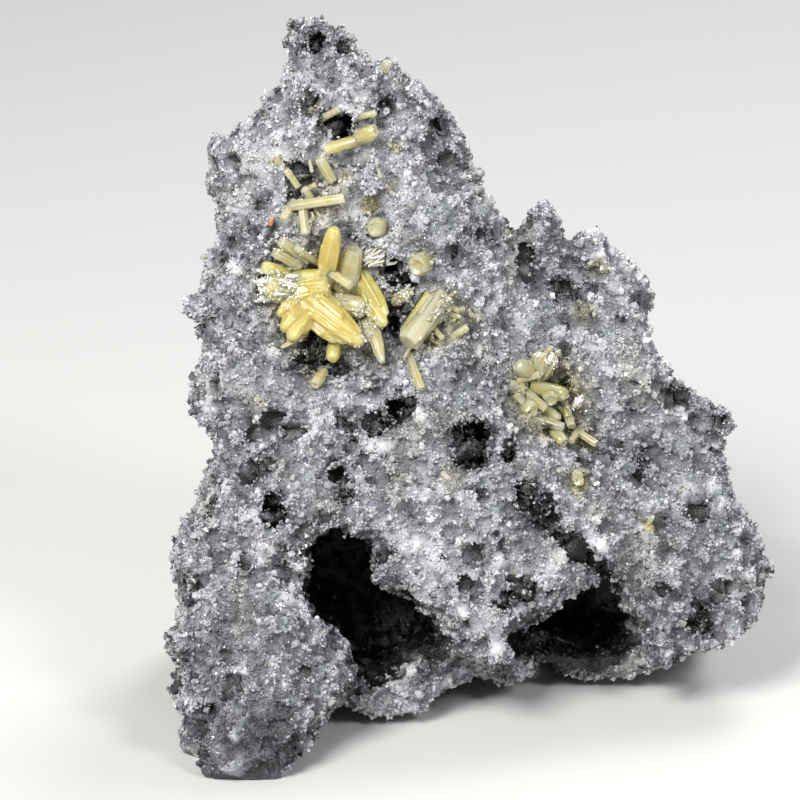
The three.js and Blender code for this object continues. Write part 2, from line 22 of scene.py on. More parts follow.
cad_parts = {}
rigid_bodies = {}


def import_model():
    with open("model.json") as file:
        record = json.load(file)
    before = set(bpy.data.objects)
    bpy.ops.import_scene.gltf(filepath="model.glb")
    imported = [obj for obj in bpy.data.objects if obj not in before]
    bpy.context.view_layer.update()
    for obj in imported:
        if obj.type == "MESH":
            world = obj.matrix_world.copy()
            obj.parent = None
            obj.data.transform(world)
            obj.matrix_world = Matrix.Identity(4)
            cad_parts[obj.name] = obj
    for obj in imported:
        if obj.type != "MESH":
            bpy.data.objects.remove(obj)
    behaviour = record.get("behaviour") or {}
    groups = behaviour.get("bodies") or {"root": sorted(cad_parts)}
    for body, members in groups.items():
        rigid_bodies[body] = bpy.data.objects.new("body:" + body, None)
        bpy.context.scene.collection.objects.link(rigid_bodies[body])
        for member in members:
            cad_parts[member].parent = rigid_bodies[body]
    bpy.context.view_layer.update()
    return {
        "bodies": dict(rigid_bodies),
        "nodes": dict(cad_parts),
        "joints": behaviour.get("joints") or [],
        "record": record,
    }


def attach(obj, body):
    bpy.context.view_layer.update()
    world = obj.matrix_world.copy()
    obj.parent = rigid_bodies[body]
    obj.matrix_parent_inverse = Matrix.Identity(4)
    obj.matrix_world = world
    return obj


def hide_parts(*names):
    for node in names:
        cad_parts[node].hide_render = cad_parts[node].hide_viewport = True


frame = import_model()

MM = 0.001
MERGED = 1e-6  # how far apart two corners may lie that are one, in metres
BODY = "root"
LOG = logging.getLogger("specimen")

Colour = tuple[float, float, float]
Shape = bpy.types.Object


# ---- The rock's own frame -------------------------------------------------------------------
@dataclass(frozen=True)
class Face:
    """The frame that the rock leans back in: across to the right, into the rock and up."""

    lean: float = math.radians(20)  # how far it leans back
    before_face: float = 8.0  # how far the foot's front edge stands before the zero depth
    middle_across: float = 5.635  # the specimen's middle, along across
    middle_back: float = 10.514  # the specimen's middle, along the table
    blur: float = 1.0  # how wide a station holds its own depth, in square millimetres
    fall_off: float = 1.5  # how fast a station's say falls with the square of its distance
    # how deep the front lies, as (across, up, into)
    depths: tuple[tuple[float, float, float], ...] = (
        (-7.2, 59.0, 1.5), (-4.0, 53.4, 0.5), (-14.8, 50.2, 2.0), (-9.6, 42.2, 0.0),
        (-4.8, 39.0, 2.0), (-13.6, 38.2, 1.0), (-12.0, 31.8, -1.0), (3.2, 43.8, 0.0),
        (6.4, 46.2, 1.5), (2.4, 28.6, 0.0), (4.0, 22.2, -1.5), (2.4, 14.2, -2.0),
        (9.6, 22.2, -0.5), (12.8, 17.4, 0.0), (12.8, 41.4, 6.0), (17.6, 38.2, 6.0),
        (16.0, 30.2, 5.0), (22.4, 27.8, 6.0), (24.0, 19.0, 4.0), (27.2, 15.8, 5.0),
        (20.0, 14.2, 3.0), (20.8, 11.0, 3.5), (-14.4, 27.8, -0.5), (-12.8, 17.4, -4.0),
        (-13.6, 11.0, -6.0), (-12.0, 4.6, -8.0), (-12.0, 0.6, -8.0),
    )

    def place(self, across: float, into: float, up: float) -> Vector:
        """Finds a point of this frame in the specimen's frame.

        Args:
            across: millimetres to the right.
            into: millimetres into the rock.
            up: millimetres up the face.

        Returns:
            The point, in metres.
        """
        back = into * math.cos(self.lean) + up * math.sin(self.lean) - self.middle_back
        height = up * math.cos(self.lean) - (into + self.before_face) * math.sin(self.lean)
        return Vector((across - self.middle_across, back, height)) * MM

    def read(self, points: np.ndarray) -> np.ndarray:
        """Reads points of the specimen's frame in this one.

        Args:
            points: one row of metres for each point.

        Returns:
            Rows of across, into and up, in millimetres.
        """
        x, y, z = points.T / MM
        back = y + self.middle_back
        height = z + self.before_face * math.sin(self.lean)
        into = back * math.cos(self.lean) - height * math.sin(self.lean)
        up = back * math.sin(self.lean) + height * math.cos(self.lean)
        return np.stack([x + self.middle_across, into, up], axis=1)

    def depth(self, across: np.ndarray | float, up: np.ndarray | float) -> np.ndarray:
        """How deep the front lies at some places, nearer stations counting for more.

        Args:
            across: millimetres to the right, one or many.
            up: millimetres up the face, one or many.

        Returns:
            The depths, in millimetres.
        """
        stations = np.array(self.depths)
        aside = np.asarray(across)[..., None] - stations[:, 0]
        along = np.asarray(up)[..., None] - stations[:, 1]
        share = (aside**2 + along**2 + self.blur) ** -self.fall_off
        return (share * stations[:, 2]).sum(-1) / share.sum(-1)


# ---- Repeatable noise on lattices -----------------------------------------------------------
# Numbers that stir a cell's place until it looks random, and the most that 32 bits hold.
CELL_KEYS = (73856093, 19349663, 83492791)
SALT_KEY = 2654435761
STIRRING = ((16, 0x7FEB352D), (15, 0x846CA68B))
LAST_SHIFT = 16
WORD = 0xFFFFFFFF
NODULE_SALT, BUD_SALT = 1, 21
NODULE_REACH = 0.72  # a nodule's radius, in pitches


class Swell(Enum):
    """The smooth noises of the rock, each with its salt and its pitch in millimetres."""

    PITTED = (31, 1.5)
    PITTED_FINE = (32, 0.75)
    RAGGED_ACROSS = (33, 0.9)
    RAGGED_UP = (34, 0.9)
    PIT_EDGES = (35, 0.7)
    TORN_ACROSS = (36, 1.5)
    TORN_UP = (37, 1.5)
    TORN_ACROSS_FINE = (38, 0.7)
    TORN_UP_FINE = (39, 0.7)
    DRIFT = (41, 5.0)
    DRIFT_FINE = (42, 2.0)
    GAPS = (43, 0.6)
    GAPS_BROAD = (44, 1.3)
    DRIFT_BEHIND = (45, 9.0)
    DENTS = (46, 5.5)
    STAINS = (51, 3.1)


def lattice(cells: np.ndarray, salt: int) -> np.ndarray:
    """Gives each cell of a lattice its own repeatable number.

    Args:
        cells: whole numbers, three for each cell.
        salt: chooses one set of numbers out of many.

    Returns:
        One number from 0 to 1 for each cell.
    """
    mixed = (cells * np.array(CELL_KEYS)).sum(-1) + salt * SALT_KEY
    mixed = (mixed & WORD).astype(np.uint32)
    for shift, factor in STIRRING:
        mixed = (mixed ^ (mixed >> np.uint32(shift))) * np.uint32(factor)
    return (mixed ^ (mixed >> np.uint32(LAST_SHIFT))) / 2.0**32


def smooth(values: np.ndarray, low: float, high: float) -> np.ndarray:
    """Rises smoothly from 0 at low to 1 at high."""
    share = np.clip((values - low) / (high - low), 0, 1)
    return share * share * (3 - 2 * share)


def swell(points: np.ndarray, noise: Swell) -> np.ndarray:
    """Smooth noise over space.

    Args:
        points: rows of millimetres.
        noise: which noise.

    Returns:
        One number from -1 to 1 for each point.
    """
    salt, pitch = noise.value
    scaled = points / pitch
    cell = np.floor(scaled).astype(np.int64)
    share = scaled - cell
    share = share * share * (3 - 2 * share)
    total = np.zeros(len(points))
    for corner in np.ndindex(2, 2, 2):
        weight = np.where(corner, share, 1 - share).prod(axis=1)
        total += weight * lattice(cell + corner, salt)
    return 2 * total - 1


def nodules(points: np.ndarray, pitch: float, salt: int) -> tuple[np.ndarray, np.ndarray]:
    """Finds the nearest of many scattered centres, one in each cell of a lattice.

    Args:
        points: rows of millimetres.
        pitch: the lattice's pitch, in millimetres.
        salt: chooses one scatter out of many.

    Returns:
        How high a round nodule about the centre stands, from 0 to 1, and the nodule's own
        number from 0 to 1.
    """
    scaled = points / pitch
    home = np.floor(scaled).astype(np.int64)
    nearest = np.full(len(points), np.inf)
    number = np.zeros(len(points))
    for step in np.ndindex(3, 3, 3):
        cell = home + step - 1
        centre = cell + np.stack([lattice(cell, salt + axis) for axis in range(3)], axis=1)
        gap = np.linalg.norm(scaled - centre, axis=1)
        nearer = gap < nearest
        nearest = np.where(nearer, gap, nearest)
        number = np.where(nearer, lattice(cell, salt + 3), number)
    return np.clip(1 - (nearest / NODULE_REACH) ** 2, 0, 1), number


def strayed(places: np.ndarray, *waves: tuple[float, Swell, Swell]) -> np.ndarray:
    """Shifts places by smooth noise, so that what is drawn there gets a ragged edge.

    Args:
        places: rows of across, into and up, in millimetres.
        *waves: heights in millimetres, each with its noises across and up.

    Returns:
        The shifted places.
    """
    moved = places.copy()
    for column, which in ((0, 1), (2, 2)):
        moved[:, column] += sum(wave[0] * swell(places, wave[which]) for wave in waves)
    return moved


# ---- Blender's own steps --------------------------------------------------------------------
def take(piece: Shape) -> None:
    """Leaves one piece alone selected and active.

    Args:
        piece: the piece.
    """
    bpy.ops.object.select_all(action="DESELECT")
    piece.select_set(True)
    bpy.context.view_layer.objects.active = piece


@contextmanager
def editing(piece: Shape, chosen: Callable[[bpy.types.MeshPolygon], bool]) -> Iterator[None]:
    """Holds a piece in edit mode with some of its faces selected.

    Args:
        piece: the mesh to shape.
        chosen: says of a face whether it is selected.

    Yields:
        Nothing; the piece leaves edit mode afterwards.
    """
    take(piece)
    bpy.context.tool_settings.mesh_select_mode = (False, False, True)
    for part in (*piece.data.vertices, *piece.data.edges):
        part.select = False
    for face in piece.data.polygons:
        face.select = chosen(face)
    bpy.ops.object.mode_set(mode="EDIT")
    try:
        yield
    finally:
        bpy.ops.object.mode_set(mode="OBJECT")


LOOKS_UP = 0.9  # how much of its normal stands up


def every(_face: bpy.types.MeshPolygon) -> bool:
    """Chooses every face."""
    return True


def faces_up(face: bpy.types.MeshPolygon) -> bool:
    """Chooses the faces that look straight up."""
    return face.normal.z > LOOKS_UP


LEVELS = 100  # how finely a vertex group holds a share


def apply_modifier(piece: Shape, kind: str, **settings: object) -> None:
    """Adds a modifier, sets it and applies it.

    Args:
        piece: the mesh that it changes.
        kind: Blender's name for the modifier.
        **settings: its values.
    """
    modifier = piece.modifiers.new(kind.title(), kind)
    for name, value in settings.items():
        setattr(modifier, name, value)
    take(piece)
    bpy.ops.object.modifier_apply(modifier=modifier.name)


def corners(mesh: bpy.types.Mesh, kind: str = "co") -> np.ndarray:
    """Reads a vector of each vertex of a mesh.

    Args:
        mesh: the mesh.
        kind: "co" for the places or "normal" for the normals.

    Returns:
        One row for each vertex.
    """
    values = np.empty(len(mesh.vertices) * 3, np.float32)
    mesh.vertices.foreach_get(kind, values)
    return values.reshape(-1, 3).astype(float)


def write_attribute(mesh: bpy.types.Mesh, name: str, kind: str, values: np.ndarray) -> None:
    """Stores values at a mesh's vertices for its material to read.

    Args:
        mesh: the mesh.
        name: the attribute's name.
        kind: Blender's name for the values' type.
        values: one row for each vertex.
    """
    attribute = mesh.attributes.new(name, kind, "POINT")
    key = {"FLOAT_COLOR": "color", "FLOAT_VECTOR": "vector", "FLOAT": "value"}[kind]
    attribute.data.foreach_set(key, np.ascontiguousarray(values, np.float32).ravel())


def join(pieces: Sequence[Shape], name: str) -> Shape:
    """Joins several pieces in one.

    Args:
        pieces: the pieces.
        name: the new name.

    Returns:
        The first piece, with the others in it.
    """
    take(pieces[0])
    for piece in pieces:
        piece.select_set(True)
    if len(pieces) > 1:
        bpy.ops.object.join()
    pieces[0].name = pieces[0].data.name = name
    return pieces[0]


# ---- Shader maths ---------------------------------------------------------------------------
@dataclass(frozen=True)
class Term:
    """A shader's output that can stand in a sum or a product."""

    bench: "Bench"
    socket: bpy.types.NodeSocket

    def _combined(self, operation: str, other: object) -> "Term":
        """Adds the Math node that combines this value with another."""
        return self.bench.node("ShaderNodeMath", {"operation": operation}, {0: self, 1: other})

    def __add__(self, other: object) -> "Term":
        """The sum with another value."""
        return self._combined("ADD", other)

    def __sub__(self, other: object) -> "Term":
        """The difference from another value."""
        return self._combined("SUBTRACT", other)

    def __mul__(self, other: object) -> "Term":
        """The product with another value."""
        return self._combined("MULTIPLY", other)


# The numbers of the Mix node's sockets for colours.
MIX_SHARE, MIX_FIRST, MIX_SECOND, MIXED = 0, 6, 7, 2


class Bench:
    """Makes one material's nodes."""

    def __init__(self, name: str) -> None:
        """Starts an empty material.

        Args:
            name: the material's name.
        """
        self.material = bpy.data.materials.new(name)
        self.material.use_nodes = True
        self.tree = self.material.node_tree
        self.tree.nodes.clear()

    def node(self, kind: str, settings: dict, inputs: dict, output: int | str = 0) -> Term:
        """Adds a node.

        Args:
            kind: Blender's name for the node's type.
            settings: its own settings; "stops" are a ramp's places and colours.
            inputs: a value or a term for each socket, by name or number.
            output: which of its outputs is wanted.

        Returns:
            That output.
        """
        made = self.tree.nodes.new(kind)
        for name, value in settings.items():
            if name == "stops":
                self._set_stops(made.color_ramp, value)
            else:
                setattr(made, name, value)
        for key, value in inputs.items():
            if isinstance(value, Term):
                self.tree.links.new(value.socket, made.inputs[key])
            else:
                made.inputs[key].default_value = value
        return Term(self, made.outputs[output])

    @staticmethod
    def _set_stops(ramp: bpy.types.ColorRamp, stops: Sequence[tuple[float, Colour]]) -> None:
        """Gives a ramp its places and colours.

        Args:
            ramp: the ramp.
            stops: the places, each with its colour.
        """
        while len(ramp.elements) < len(stops):
            ramp.elements.new(1.0)
        for element, (place, colour) in zip(ramp.elements, stops, strict=True):
            element.position = place
            element.color = (*colour, 1)

    def stored(self, name: str, output: str = "Fac") -> Term:
        """Reads an attribute of the mesh."""
        return self.node("ShaderNodeAttribute", {"attribute_name": name}, {}, output)

    def parts(self, colour: Term) -> tuple[Term, Term, Term]:
        """Splits a colour in its three numbers."""
        whole = self.node("ShaderNodeSeparateColor", {}, {"Color": colour})
        return tuple(Term(self, output) for output in whole.socket.node.outputs)

    def mixed(self, share: object, first: object, second: object, blend: str = "MIX") -> Term:
        """Mixes two colours.

        Args:
            share: how much of the second there is.
            first: a term or a colour.
            second: a term or a colour.
            blend: how they are mixed.

        Returns:
            The mixed colour.
        """
        pair = [c if isinstance(c, Term) else (*c, 1) for c in (first, second)]
        settings = {"data_type": "RGBA", "blend_type": blend, "clamp_factor": True}
        inputs = {MIX_SHARE: share, MIX_FIRST: pair[0], MIX_SECOND: pair[1]}
        return self.node("ShaderNodeMix", settings, inputs, MIXED)

    def rise(self, value: Term, low: float, high: float) -> Term:
        """Goes smoothly from 0 to 1 while a value goes from low to high."""
        inputs = {"Value": value, "From Min": low, "From Max": high}
        return self.node("ShaderNodeMapRange", {"interpolation_type": "SMOOTHSTEP"}, inputs)

    def grain(self, place: Term, pitch: float, detail: float = 2.0) -> Term:
        """Fine noise of a pitch in millimetres over a place in metres."""
        inputs = {"Vector": place, "Scale": 1 / (pitch * MM), "Detail": detail}
        return self.node("ShaderNodeTexNoise", {}, inputs, "Fac")

    def places(self) -> Term:
        """The point's place on the object."""
        return self.node("ShaderNodeTexCoord", {}, {}, "Object")

    def bumped(self, height: Term, distance: float, strength: float = 1.0) -> Term:
        """A normal that a height in millimetres of the given distance tilts."""
        inputs = {"Height": height, "Distance": distance * MM, "Strength": strength}
        return self.node("ShaderNodeBump", {}, inputs)

    def close(self, surface: Term, **volume: Term) -> bpy.types.Material:
        """Ends the material.

        Args:
            surface: its surface.
            **volume: its inside, if it is clear, as Volume.

        Returns:
            The material.
        """
        end = self.tree.nodes.new("ShaderNodeOutputMaterial")
        for name, term in {"Surface": surface, **volume}.items():
            self.tree.links.new(term.socket, end.inputs[name])
        return self.material


# ---- Finishes -------------------------------------------------------------------------------
QUARTZ_TONES: tuple[tuple[float, Colour], ...] = (
    (0.0, (0.018, 0.018, 0.022)),
    (0.25, (0.166, 0.172, 0.197)),
    (0.5, (0.425, 0.428, 0.462)),
    (0.75, (0.55, 0.55, 0.575)),
    (1.0, (0.70, 0.70, 0.71)),
)


@dataclass(frozen=True)
class QuartzFinish:
    """Grey to milky quartz, with painted shade in its hollows, and stained here and there.

    The mesh stores, as the colour "cast", its tone, its painted shade and how much it is
    stained, and as "metal" how much of it is a bright ore.
    """

    name: str
    roughness: float  # its middle roughness
    speckle: float  # how much its tone differs from point to point
    relief: float  # how deep its fine grain is, in millimetres
    # its colours, from its darkest tone to its lightest
    tones: tuple[tuple[float, Colour], ...] = QUARTZ_TONES
    stain: Colour = (0.60, 0.52, 0.17)  # what the stains leave of its colour
    ore: Colour = (0.78, 0.76, 0.70)
    fine: float = 0.16  # the pitch of its fine grain, in millimetres
    broad: float = 0.55  # the pitch of its broad grain, in millimetres
    uneven: float = 0.25  # how much its roughness differs from point to point
    refraction: float = 1.55
    milky: float = 0.12  # how much light it scatters inside
    milky_depth: float = 0.35  # how far that light goes, in millimetres

    def make(self) -> bpy.types.Material:
        """Builds the material.

        Returns:
            The material.
        """
        bench = Bench(self.name)
        place = bench.places()
        tone, shade, stained = bench.parts(bench.stored("cast", "Color"))
        metal = bench.stored("metal")
        fine = bench.grain(place, self.fine)
        broad = bench.grain(place, self.broad, 3.0)
        lifted = tone + (fine - 0.5) * self.speckle + (broad - 0.5) * self.speckle
        grey = bench.node("ShaderNodeValToRGB", {"stops": self.tones}, {"Fac": lifted})
        tinted = bench.mixed(stained, grey, self.stain, "MULTIPLY")
        ore = bench.mixed(metal, tinted, self.ore)
        # The stored shade is painted shade, multiplied into the colour.
        painted_shade_colour = bench.node("ShaderNodeCombineColor", {}, {0: shade, 1: shade, 2: shade})
        inputs = {
            "Base Color": bench.mixed(1.0, ore, painted_shade_colour, "MULTIPLY"),
            "Roughness": fine * self.uneven + (self.roughness - self.uneven / 2),
            "Metallic": metal,
            "IOR": self.refraction,
            "Subsurface Weight": self.milky,
            "Subsurface Radius": (1.0, 1.0, 1.1),
            "Subsurface Scale": self.milky_depth * MM,
            "Normal": bench.bumped(fine, self.relief),
        }
        return bench.close(bench.node("ShaderNodeBsdfPrincipled", {}, inputs))


@dataclass(frozen=True)
class CrystalFinish:
    """Mimetite, striated along its length, cloudy, paler at its tips, with painted edge
    highlights.
    """

    name: str
    deep: Colour
    pale: Colour
    transmission: float  # how clear it is
    cloudiness: float  # how much light it scatters inside
    roughness: float  # its middle roughness
    absorbed: Colour  # what is left of the light that goes through it
    density: float  # how strongly it absorbs
    streak: float  # how much the striae differ in colour
    rim: float  # how much paler its edges are painted, as a painted highlight
    tip: float = 0.35  # how much paler its tip is
    climb: float = 0.2  # how much paler it gets along its length
    cloud: float = 1.8  # how much the clouds in it differ in colour
    paleness: float = 0.22  # how pale it is at least
    stretch: float = 0.08  # how much longer than wide the striae are, as a share
    stria_pitch: float = 0.16  # the pitch of the striae, in millimetres
    cloud_pitch: float = 0.7  # the pitch of the clouds, in millimetres
    uneven: float = 0.2  # how much its roughness differs from point to point
    relief: float = 0.05  # how deep the striae are, in millimetres
    refraction: float = 1.62
    scatter: float = 1.6  # how far the light goes inside, in millimetres
    # how far out its painted edge highlight starts, and is brightest, in half widths
    painted_edge_span: tuple[float, float] = (0.90, 0.97)
    tip_span: tuple[float, float] = (0.8, 1.0)  # the same of its tip, in lengths

    def make(self) -> bpy.types.Material:
        """Builds the material.

        Returns:
            The material.
        """
        bench = Bench(self.name)
        own = bench.stored("own", "Vector")
        along = bench.stored("along")
        scaled = {"Vector": own, "Scale": (1.0, 1.0, self.stretch)}
        stria = bench.grain(bench.node("ShaderNodeMapping", {}, scaled), self.stria_pitch, 3.0)
        cloud = bench.grain(own, self.cloud_pitch, 4.0)
        section = {0: bench.stored("section", "Vector")}
        outward = bench.node("ShaderNodeVectorMath", {"operation": "LENGTH"}, section, "Value")
        # The edges are painted paler: a painted highlight standing in for light reflected inside.
        edge = bench.rise(outward, *self.painted_edge_span)
        clouded = (stria - 0.5) * self.streak + (cloud - 0.5) * self.cloud
        end = bench.rise(along, *self.tip_span) * self.tip
        paling = clouded + edge * self.rim + along * self.climb + end + self.paleness
        inputs = {
            "Base Color": bench.mixed(paling, self.deep, self.pale),
            "Roughness": stria * self.uneven + (self.roughness - self.uneven / 2),
            "IOR": self.refraction,
            "Transmission Weight": self.transmission,
            "Subsurface Weight": self.cloudiness,
            "Subsurface Radius": (1.0, 0.8, 0.35),
            "Subsurface Scale": self.scatter * MM,
            "Normal": bench.bumped(stria, self.relief, 0.7),
        }
        surface = bench.node("ShaderNodeBsdfPrincipled", {}, inputs)
        clear = {"Color": (*self.absorbed, 1), "Density": self.density}
        inside = bench.node("ShaderNodeVolumeAbsorption", {}, clear)
        return bench.close(surface, Volume=inside)


ROCK_FINISH = QuartzFinish("massive_quartz", roughness=0.42, speckle=0.5, relief=0.12)
DRUSE_FINISH = QuartzFinish("quartz_druse", roughness=0.42, speckle=0.16, relief=0.012)
FROST_FINISH = QuartzFinish(
    "white_frost", roughness=0.3, speckle=0.1, relief=0.012,
    tones=((0.0, (0.6, 0.6, 0.6)), (1.0, (0.97, 0.96, 0.92))),
)
HONEY = CrystalFinish(
    "milky_honey_crystal", (0.69, 0.53, 0.11), (0.88, 0.77, 0.36), 0.42, 1.0, 0.32,
    (0.97, 0.89, 0.38), 320.0, 1.3, 0.0,
)
SILKY = CrystalFinish(
    "silky_pale_crystal", (0.83, 0.70, 0.28), (1.0, 0.95, 0.69), 0.58, 0.5, 0.2,
    (0.97, 0.91, 0.50), 300.0, 1.5, 0.9,
)
GLASSY = CrystalFinish(
    "glassy_olive_crystal", (0.92, 0.79, 0.28), (1.0, 0.96, 0.72), 0.66, 0.5, 0.13,
    (0.97, 0.91, 0.42), 280.0, 1.8, 1.0,
)
FROSTED = CrystalFinish(
    "frosted_white_crystal", (0.90, 0.83, 0.54), (1.0, 0.98, 0.88), 0.2, 0.4, 0.25,
    (0.98, 0.96, 0.80), 200.0, 1.3, 0.9,
)
RUSTY = CrystalFinish(
    "rusty_orange_crystal", (0.50, 0.12, 0.04), (0.85, 0.34, 0.16), 0.1, 0.3, 0.4,
    (0.95, 0.50, 0.30), 300.0, 1.0, 0.5,
)


# ---- Crystals -------------------------------------------------------------------------------
@dataclass(frozen=True)
class Profile:
    """How a crystal's width changes along it."""

    # (share of the half width, share of the length) from the base to the tip
    rings: tuple[tuple[float, float], ...]
    sides: int = 6
    ribbing: float = 0.0  # how deep the ribs along it are, as a share of its width
    facets: float = 0.0  # how flat its six main faces are, from 0 for round to 1
    bevel: float = 0.0  # the width of its bevelled edges, as a share of its width
    hollow: float = 0.0  # how deep its end face is sunk, as a share of its width
    flat: float = 1.0  # how thick it is, as a share of its width


class Habit(Enum):
    """The forms that the crystals take."""

    PRISM = Profile(((1.0, 0.0), (1.0, 0.96), (0.84, 1.0)), bevel=0.05)
    ROUNDED = Profile(
        ((1.0, 0.0), (1.0, 0.72), (0.94, 0.86), (0.76, 0.95), (0.45, 1.0)), sides=16, ribbing=0.04
    )
    SPATULA = Profile(
        (
            (0.80, 0.0), (0.88, 0.2), (0.96, 0.45), (1.0, 0.62), (0.97, 0.75),
            (0.90, 0.85), (0.76, 0.93), (0.56, 0.98), (0.36, 1.0),
        ),
        sides=36,
        ribbing=0.015,
        facets=0.9,
    )
    SPINDLE = Profile(
        (
            (0.50, 0.0), (0.74, 0.14), (0.92, 0.30), (1.0, 0.46), (0.97, 0.60),
            (0.86, 0.74), (0.68, 0.86), (0.48, 0.95), (0.30, 1.0),
        ),
        sides=36,
        ribbing=0.03,
        facets=0.9,
    )
    BARREL = Profile(
        ((0.72, 0.0), (0.9, 0.25), (1.0, 0.5), (0.96, 0.75), (0.8, 0.93), (0.66, 1.0)),
        sides=18,
        ribbing=0.07,
        hollow=0.12,
    )
    NEEDLE = Profile(((1.0, 0.0), (1.0, 0.9), (0.6, 1.0)))
    CHISEL = Profile(
        ((0.9, 0.0), (1.0, 0.4), (1.0, 0.78), (0.62, 0.96), (0.3, 1.0)), flat=0.7
    )
    BLADE = Profile(
        ((0.8, 0.0), (1.0, 0.3), (0.95, 0.8), (0.6, 0.96), (0.3, 1.0)), bevel=0.06, flat=0.42
    )


@dataclass(frozen=True)
class Crystal:
    """One crystal, from its base to its tip, in millimetres of the rock's frame."""

    look: CrystalFinish
    base: tuple[float, float]  # (across, up) of its base, which is sunk into the rock
    tip: tuple[float, float]  # (across, up) of its tip, which stands out from the face
    width: float  # how wide it is at its widest
    sink: float  # how deep the base lies behind the face
    lift: float  # how far the tip stands before the face
    habit: Habit
    splinters: int = 0  # how many thinner crystals run along with it

    def ends(self, face: Face) -> tuple[Vector, Vector]:
        """Finds its two ends.

        Args:
            face: the rock's frame.

        Returns:
            Its base and its tip, in metres of the specimen's frame.
        """
        start = face.place(self.base[0], face.depth(*self.base) + self.sink, self.base[1])
        end = face.place(self.tip[0], face.depth(*self.tip) - self.lift, self.tip[1])
        return start, end


@dataclass
class CrystalMaker:
    """Grows crystals ring by ring and sets them in the rock's frame."""

    face: Face
    random: np.random.Generator = field(default_factory=lambda: np.random.default_rng(11))
    skin: float = 0.07  # the pitch of the mesh of fused crystals, in millimetres
    smoothing: int = 3  # how often that mesh is smoothed
    root: float = 0.02  # the length that the first ring stands up, as a share of the whole
    rim: float = 0.16  # the rim round a sunk end, as a share of the width
    grooves: float = 0.9  # how much deeper every other rib is cut
    ragged: float = 0.6  # how much the ribs' lengths differ, as a share of their depth
    thin: tuple[float, float] = (0.11, 0.26)  # how wide a splinter is, as a share of its crystal
    starts: tuple[float, float] = (0.02, 0.62)  # where a splinter starts along its crystal
    lengths: tuple[float, float] = (0.3, 0.42)  # how long it is, as a share of its crystal
    seated: float = 0.08  # how deep it sits in its crystal, as a share of its width
    apart: float = 50.0  # how far apart two crystals' striae lie in their pattern, in millimetres
    sharp: float = 38.0  # the angle from which an edge stays sharp, in degrees

    def column(self, profile: Profile, width: float, length: float) -> Shape:
        """Models one crystal standing on the origin.

        Args:
            profile: its form.
            width: how wide it is, in metres.
            length: how long it is, in metres.

        Returns:
            The crystal.
        """
        first = profile.rings[0][0]
        start = self.root * length
        bpy.ops.mesh.primitive_cylinder_add(
            vertices=profile.sides,
            radius=first * width / 2,
            depth=start,
            location=(0, 0, start / 2),
        )
        piece = bpy.context.object
        bpy.ops.object.transform_apply()
        with editing(piece, faces_up):
            for (share, at), (next_share, next_at) in pairwise(profile.rings):
                rise = (next_at - at) * (length - start)
                bpy.ops.mesh.extrude_region_move(TRANSFORM_OT_translate={"value": (0, 0, rise)})
                grow = next_share / share
                bpy.ops.transform.resize(value=(grow, grow, 1), center_override=(0, 0, 0))
            if profile.hollow:
                bpy.ops.mesh.inset(thickness=self.rim * width)
                sunk = -profile.hollow * width
                bpy.ops.transform.translate(value=(0, 0, sunk))
            if profile.flat < 1:
                bpy.ops.mesh.select_all(action="SELECT")
                bpy.ops.transform.resize(value=(1, profile.flat, 1), center_override=(0, 0, 0))
        if profile.ribbing:
            self._rib(piece.data, profile)
        if profile.bevel:
            apply_modifier(
                piece, "BEVEL", width=profile.bevel * width, segments=2, limit_method="ANGLE"
            )
        return piece

    def _rib(self, mesh: bpy.types.Mesh, profile: Profile) -> None:
        """Draws ribs along a crystal, each of its own length, so that its tip is ragged.

        Args:
            mesh: the crystal's mesh, standing on the origin.
            profile: its form.
        """
        points = corners(mesh)
        turn = np.arctan2(points[:, 1], points[:, 0])
        step = np.round(turn / (2 * np.pi) * profile.sides).astype(int) % profile.sides
        sixth = math.pi / 3
        flat = math.cos(sixth / 2) / np.cos(turn % sixth - sixth / 2)
        depth = self.random.uniform(-1, 1, profile.sides)
        depth[::2] -= self.grooves
        longer = self.random.uniform(-1, 1, profile.sides)
        reach = points[:, 2] / points[:, 2].max()
        points[:, :2] *= (1 + profile.ribbing * depth[step])[:, None]
        points[:, :2] *= (1 + profile.facets * (flat - 1))[:, None]
        points[:, 2] *= 1 + profile.ribbing * self.ragged * longer[step] * reach**4
        mesh.vertices.foreach_set("co", points.astype(np.float32).ravel())

    def grow(self, crystal: Crystal) -> list[Shape]:
        """Grows one crystal of the specimen with its splinters.

        Args:
            crystal: its place and form.

        Returns:
            Its pieces, in place.
        """
        start, end = crystal.ends(self.face)
        width = crystal.width * MM
        pieces = [self._between(crystal.habit.value, width, start, end, crystal.look)]
        for _ in range(crystal.splinters):
            pieces.append(self._splinter(crystal, width, start, end))
        return pieces

    def _splinter(self, crystal: Crystal, width: float, start: Vector, end: Vector) -> Shape:
        """Grows a thinner crystal that runs along a thick one and stands a little proud of it.

        Args:
            crystal: the thick one.
            width: how wide that is, in metres.
            start: its base.
            end: its tip.

        Returns:
            The thinner one.
        """
        axis = (end - start).normalized()
        aside = axis.orthogonal().normalized()
        aside.rotate(Matrix.Rotation(self.random.uniform(0, 2 * math.pi), 3, axis))
        thin = width * self.random.uniform(*self.thin)
        low = self.random.uniform(*self.starts)
        high = low + self.random.uniform(*self.lengths)
        shares, places = zip(*crystal.habit.value.rings, strict=True)
        ends = []
        for at in (low, high):
            out = np.interp(at, places, shares) * width / 2 - self.seated * thin
            ends.append(start + (end - start) * at + aside * out)
        return self._between(Habit.NEEDLE.value, thin, *ends, crystal.look)

